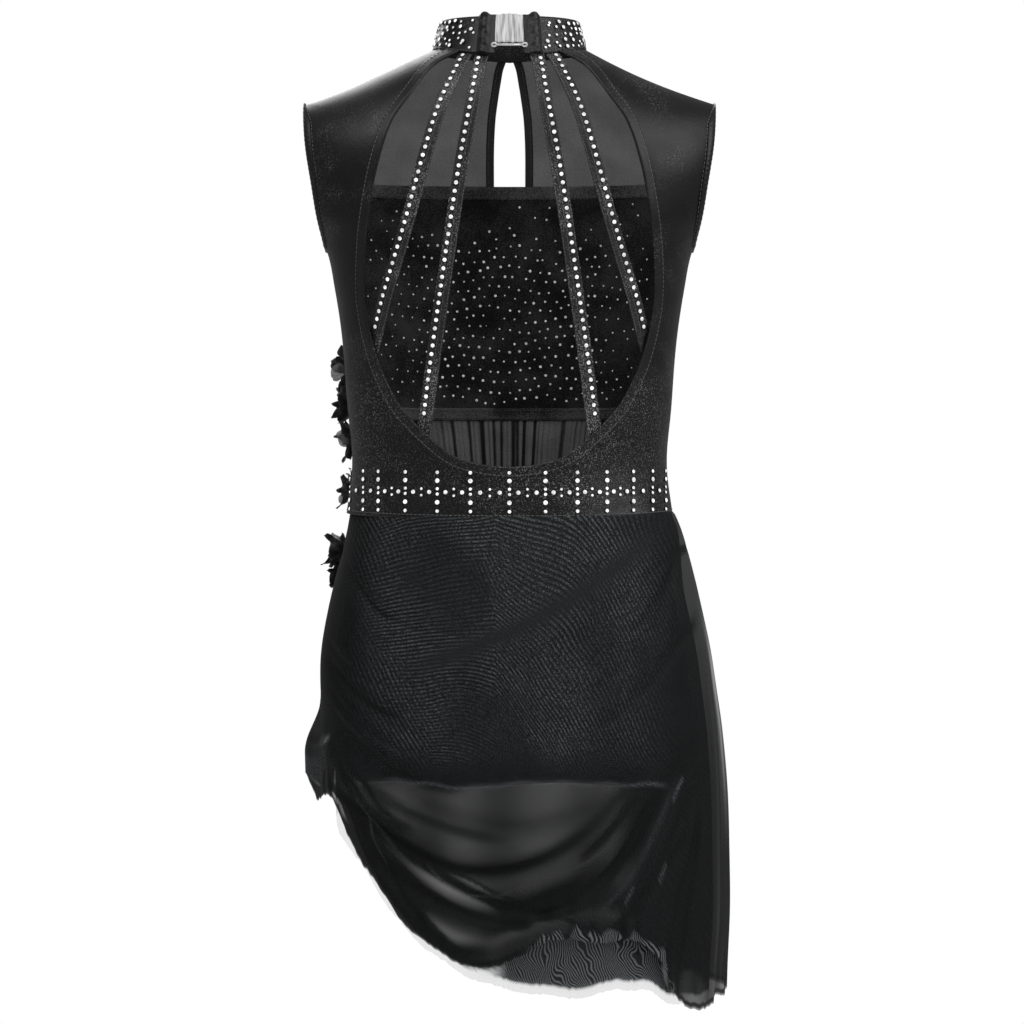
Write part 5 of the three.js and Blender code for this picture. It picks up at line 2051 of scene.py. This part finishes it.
    def bunch_and_shade(self, at: Patch) -> Array:
        """How densely the cloth is bunched, and so how close it looks, and how much painted shade darkens it
        in folds, creases, pleats and near the hem.

        Args:
            at: the points.

        Returns:
            Shares from 0 to 1.
        """
        turn, x, z = self.turn(at.u), at.x, at.z
        outer = float(self.tier is Tier.OUTER)
        on_back, side = self.form.behind(turn), np.sin(np.radians(turn))
        large = sum(max(0.0, -fold.depth) / 19 * fold.weight(x, z) for fold in SWAGS)
        small = 1.2 * sum(fold.shade * fold.weight(x, z) for fold in CREASES)
        hung = sum(0.09 * abs(flute.depth) * flute.weight(turn, z) for flute in FLUTES)
        left = ease((-side - 0.84) / 0.1)
        left = left * (ease((z + 486) / 16) + 1.05 * self.fanned(x, z) * ease((-z - 470) / 16))
        right = 0.63 * np.maximum(ease((x - 74) / 34) * ease((-z - 440) / 60), ease((side - 0.82) / 0.1))
        flank = 0.5 * ease((-x - 42) / 50) * ease((-z - 530) / 35)
        sliver = ease((side - 0.982) / 0.008) * ease((0.9985 - side) / 0.0012)
        sliver = outer * sliver * ease((-z - 375) / 60) * ease((z + 575) / 90)
        away = (z - self.form.outer_hem(turn)) / (ease((turn + 88) / 70) * 0.75 + 0.25)
        gathered = 0.92 - 0.45 * np.exp(-((away - 17) / 6) ** 2) - 0.3 * np.exp(-((away - 45) / 7) ** 2)
        near_hem = 0.9 * ease((60 - away) / 34) * ease((44 - turn) / 16) * ease((turn + 86) / 10)
        near_hem = near_hem * on_back * gathered
        rim = 0.9 * ease((at.v - 0.984) / 0.008) * outer
        grain = self.grain(at)
        crimp = 0.9 * outer * ease(grain * 2) * ease(0.5 + ripple(turn / 360, 78, 6, 70, 190))
        doubled = (1 - outer) * grain
        # Painted shade: besides closing the net, this darkens the tulle's colour in the folds, the flanks,
        # the pleats and near the hem.
        dark = on_back * (large + small) + hung + left + right + flank + near_hem + rim + crimp + doubled
        return np.clip(dark, 0, 1) * (1 - sliver) * (1 - 0.8 * self.thin(at))

    def build(self) -> None:
        sheet = Cloth(self.name + "_cloth", *self.grid, self.place, self.lift, marks={"thin": self.thin})
        if self.tier is Tier.LINING:
            sheet.wall = self.lining_wall
            dress(sheet.build(), LINING, "lining", self.name, cut=self.cut)
            return
        sheet.marks |= {"bunch_and_shade": self.bunch_and_shade, "gleam": self.gleam, "smooth": self.smooth, "grain": self.grain}
        dress(sheet.build(), TULLE, "tulle", self.name, cut=self.cut)


@dataclass
class Skirt:
    """Two draped layers of tulle over an opaque underskirt."""

    form: SkirtForm

    def build(self) -> None:
        """Makes the six pieces."""
        form, rests = self.form, ("back_panel_cloth",)
        behind, before = (-90, 90), (90, 270)
        outer = Cut(420, 350, Held.DRAPED, rests, fullness=1.1)
        inner = Cut(410, 352, Held.HUNG, rests, fullness=1.1)
        lining = Cut(380, 196, Held.HUNG, rests, fullness=1.03)
        layers = (
            Layer(form, "skirt_outer_back", Tier.OUTER, behind, (280, 190), outer, seed=61),
            Layer(form, "skirt_outer_front", Tier.OUTER, before, (180, 110), outer, seed=63),
            Layer(form, "skirt_inner_back", Tier.INNER, behind, (200, 130), inner, seed=65),
            Layer(form, "skirt_inner_front", Tier.INNER, before, (140, 90), inner, seed=67),
            Layer(form, "underskirt_back", Tier.LINING, behind, (140, 60), lining),
            Layer(form, "underskirt_front", Tier.LINING, before, (140, 60), lining),
        )
        for layer in layers:
            layer.build()


# ---------------- flowers
@dataclass
class Flowers:
    """Fabric flowers with leaves and a bead, down the wearer's left side of the front."""

    body: BodyForm
    skirt: SkirtForm
    rows: tuple[Triple, ...] = (
        (-213, 74, 15), (-240, 74, 15.5), (-266, 78, 14), (-303, 76, 13), (-348, 77, 15), (-366, 71, 14))
    petals: int = 5
    paler: tuple[int, ...] = (3, 4)
    wall: float = 0.35

    def place(self, turn: float, z: float) -> Array:
        """A point of the dress at an angle from the front middle on the wearer's left.

        Args:
            turn: the angle in degrees.
            z: the height.

        Returns:
            The point.
        """
        if z >= self.body.waist:
            return self.body.turned(Side.FRONT, -np.radians(np.array([turn])), np.array([z]))[0]
        around, height = np.array([180.0 + turn]), np.array([z])
        point = self.skirt.at(around, height)
        lift = self.skirt.folds(around, point[:, 0], height) * self.skirt.below(around, height)
        out = point * (1, 1, 0)
        return (point + out / np.linalg.norm(out) * lift[:, None])[0]

    def frame_at(self, turn: float, z: float) -> Matrix:
        """The transform from a flower lying in its own plane to its seat, in millimetres.

        Args:
            turn: the seat's angle.
            z: its height.

        Returns:
            The transform.
        """
        seat = Vector(self.place(turn, z))
        along = Vector(self.place(turn + 4, z) - self.place(turn - 4, z))
        up = Vector(self.place(turn, z + 5) - self.place(turn, z - 5))
        out = along.cross(up).normalized()
        out = -out if out.x > 0 else out
        turn_up = Vector((0, 0, 1)).rotation_difference(out).to_matrix().to_4x4()
        return Matrix.Translation(seat + out * 0.9) @ turn_up

    def blade(self, size: float, broad: float, cup: float, seed: int) -> bmesh.types.BMesh:
        """One petal or leaf with its root at the origin and its tip along +X.

        Args:
            size: its length.
            broad: its half width as a share of its length.
            cup: how much its sides curl up.
            seed: seed of its ruffles.

        Returns:
            The blade, in millimetres.
        """
        blade = bmesh.new()
        bmesh.ops.create_grid(blade, x_segments=9, y_segments=6, size=0.5, calc_uvs=True)
        rng = np.random.default_rng(seed)
        phase, sway = rng.uniform(0, 6.28), rng.uniform(-0.12, 0.12)
        for vert in blade.verts:
            t, w = vert.co.x + 0.5, vert.co.y * 2
            wide = broad * (0.22 + math.sin(math.pi * min(t * 0.93 + 0.05, 1.0)) ** 0.75)
            ruffle = 0.06 * math.sin(9 * t + phase + 2 * w) * abs(w)
            vert.co = Vector((t, w * wide + sway * t * t, cup * w * w * wide + 0.16 * t * t + ruffle)) * size
        return blade

    def flower(self, number: int, size: float) -> bpy.types.Object:
        """The petals and leaves of one flower.

        Args:
            number: its number, which seeds it.
            size: length of its large petals.

        Returns:
            The flower, lying in its own plane, in millimetres.
        """
        rng = np.random.default_rng(100 + number)
        whole, shares = bmesh.new(), []
        turns = [k / self.petals + 0.37 * number for k in range(self.petals)]
        plan = [(size * rng.uniform(0.95, 1.2), 0.36, 0.5, rng.uniform(8, 40), turn) for turn in turns]
        plan += [(size * 0.68, 0.42, 0.7, rng.uniform(40, 72), turn + 0.1) for turn in turns]
        plan += [(size * rng.uniform(1.1, 1.6), 0.13, 0.3, rng.uniform(5, 45), k / 3 + rng.uniform(0, 0.3))
                 for k in range(4)]
        pale = {k for k in range(2 * self.petals)
                if (k - number) % self.petals == 0 or (number in self.paler and k % 3 == 0)}
        for k, (long, broad, cup, tilt, turn) in enumerate(plan):
            blade = self.blade(long, broad, cup, number * 20 + k)
            lean = math.radians(tilt + rng.uniform(-9, 9))
            move = Matrix.Rotation(2 * math.pi * turn, 4, "Z") @ Matrix.Rotation(-lean, 4, "Y")
            blade.transform(move)
            one = bpy.data.meshes.new("blade")
            blade.to_mesh(one)
            blade.free()
            whole.from_mesh(one)
            shares += [1.0 if k in pale else 0.0] * len(one.vertices)
            bpy.data.meshes.remove(one)
        piece = solid(f"flower_{number}_cloth", whole)
        piece.data.attributes.new("pale", "FLOAT", "POINT").data.foreach_set("value", shares)
        return piece

    def build(self) -> None:
        """Makes the flowers and their beads."""
        beads: list[Spot] = []
        for number, (z, turn, size) in enumerate(self.rows, start=1):
            seat = self.frame_at(turn, z)
            piece = self.flower(number, size)
            piece.data.transform(Matrix.Scale(MM, 4) @ seat)
            piece.data.shade_smooth()
            walled(piece, self.wall, 0.0)
            rests = "front_panel_cloth" if z >= self.body.waist else "skirt_outer_front_cloth"
            dress(piece, PETAL, "petal", f"flower_{number}", cut=Cut(52, 44, Held.GATHERED, (rests,)))
            out = (seat.to_3x3() @ Vector((0, 0, 1))).normalized()
            beads.append(Spot(seat @ Vector((0, 0, size * 0.2)), out, size * 0.16))
        StoneScatter("flower_beads").set_on(beads, "petal")


# ---------------- studio
@dataclass(frozen=True)
class Lamp:
    """A soft box: where it stands, what it points at, its size and power."""

    name: str
    place: Triple
    size: float
    power: float
    target: Triple = (0.0, 0.0, -0.3)


@dataclass
class Studio:
    """Camera, floor, soft boxes and a pale surround."""

    eye: Triple = (0.0018, -2.5, -0.3197)
    lens: float = 122.07
    floor: float = -1.15
    ambient: float = 0.18
    lamps: tuple[Lamp, ...] = (
        Lamp("soft_box_left", (-1.3, -1.1, 1.7), 1.2, 7.5),
        Lamp("soft_box_right", (1.9, -1.1, 1.1), 2.0, 20.0),
        Lamp("soft_box_top", (-0.1, -0.9, 2.0), 1.6, 7.0),
        Lamp("soft_box_front", (-0.8, 2.0, 1.1), 1.4, 17.0),
    )

    def build(self) -> None:
        """Sets the studio up."""
        scene = bpy.context.scene
        camera = stand("camera", bpy.data.cameras.new("camera"))
        camera.data.sensor_width, camera.data.lens = 36.0, self.lens
        camera.location, camera.rotation_euler = self.eye, (math.pi / 2, 0, 0)
        camera.data.clip_end = 50
        scene.camera = camera
        ground = bmesh.new()
        bmesh.ops.create_grid(ground, x_segments=8, y_segments=8, size=2.2)
        bmesh.ops.translate(ground, verts=ground.verts, vec=(0, 0, self.floor))
        floor = solid("floor", ground)
        floor.data.materials.append(Finish("floor_paper", 0.82, 0.9).material())
        for lamp in self.lamps:
            light = bpy.data.lights.new(lamp.name, "AREA")
            light.energy, light.size = lamp.power, lamp.size
            tripod = stand(lamp.name, light)
            tripod.location = lamp.place
            aim = Vector(lamp.target) - Vector(lamp.place)
            tripod.rotation_euler = aim.to_track_quat("-Z", "Y").to_euler()
        self.surround(scene)

    def surround(self, scene: bpy.types.Scene) -> None:
        """Makes the surround white to the eye and a soft even light on the dress.

        Args:
            scene: the scene.
        """
        world = bpy.data.worlds.new("surround")
        scene.world = world
        world.use_nodes = True
        nodes, links = world.node_tree.nodes, world.node_tree.links
        seen, lit = nodes["Background"], nodes.new("ShaderNodeBackground")
        seen.inputs["Color"].default_value, seen.inputs["Strength"].default_value = (1, 1, 1, 1), 1.0
        lit.inputs["Color"].default_value, lit.inputs["Strength"].default_value = (1, 1, 1, 1), self.ambient
        choose, path = nodes.new("ShaderNodeMixShader"), nodes.new("ShaderNodeLightPath")
        links.new(path.outputs["Is Camera Ray"], choose.inputs["Fac"])
        links.new(lit.outputs[0], choose.inputs[1])
        links.new(seen.outputs[0], choose.inputs[2])
        links.new(choose.outputs[0], nodes["World Output"].inputs["Surface"])
        scene.view_settings.view_transform = "Standard"


def main() -> None:
    """Builds the dress and its studio."""
    body, edge, front_edge = BodyForm(), OvalEdge(), FrontEdge()
    skirt = SkirtForm(body)
    Studio().build()
    makers = (KnitPanels(body, edge, front_edge), FrontInserts(body, front_edge), Straps(body), Collar(body),
              WaistMotif(body), Skirt(skirt), Flowers(body, skirt))
    for maker in makers:
        maker.build()
        LOG.info("%s done", type(maker).__name__)
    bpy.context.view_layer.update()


if __name__ == "__main__":
    main()
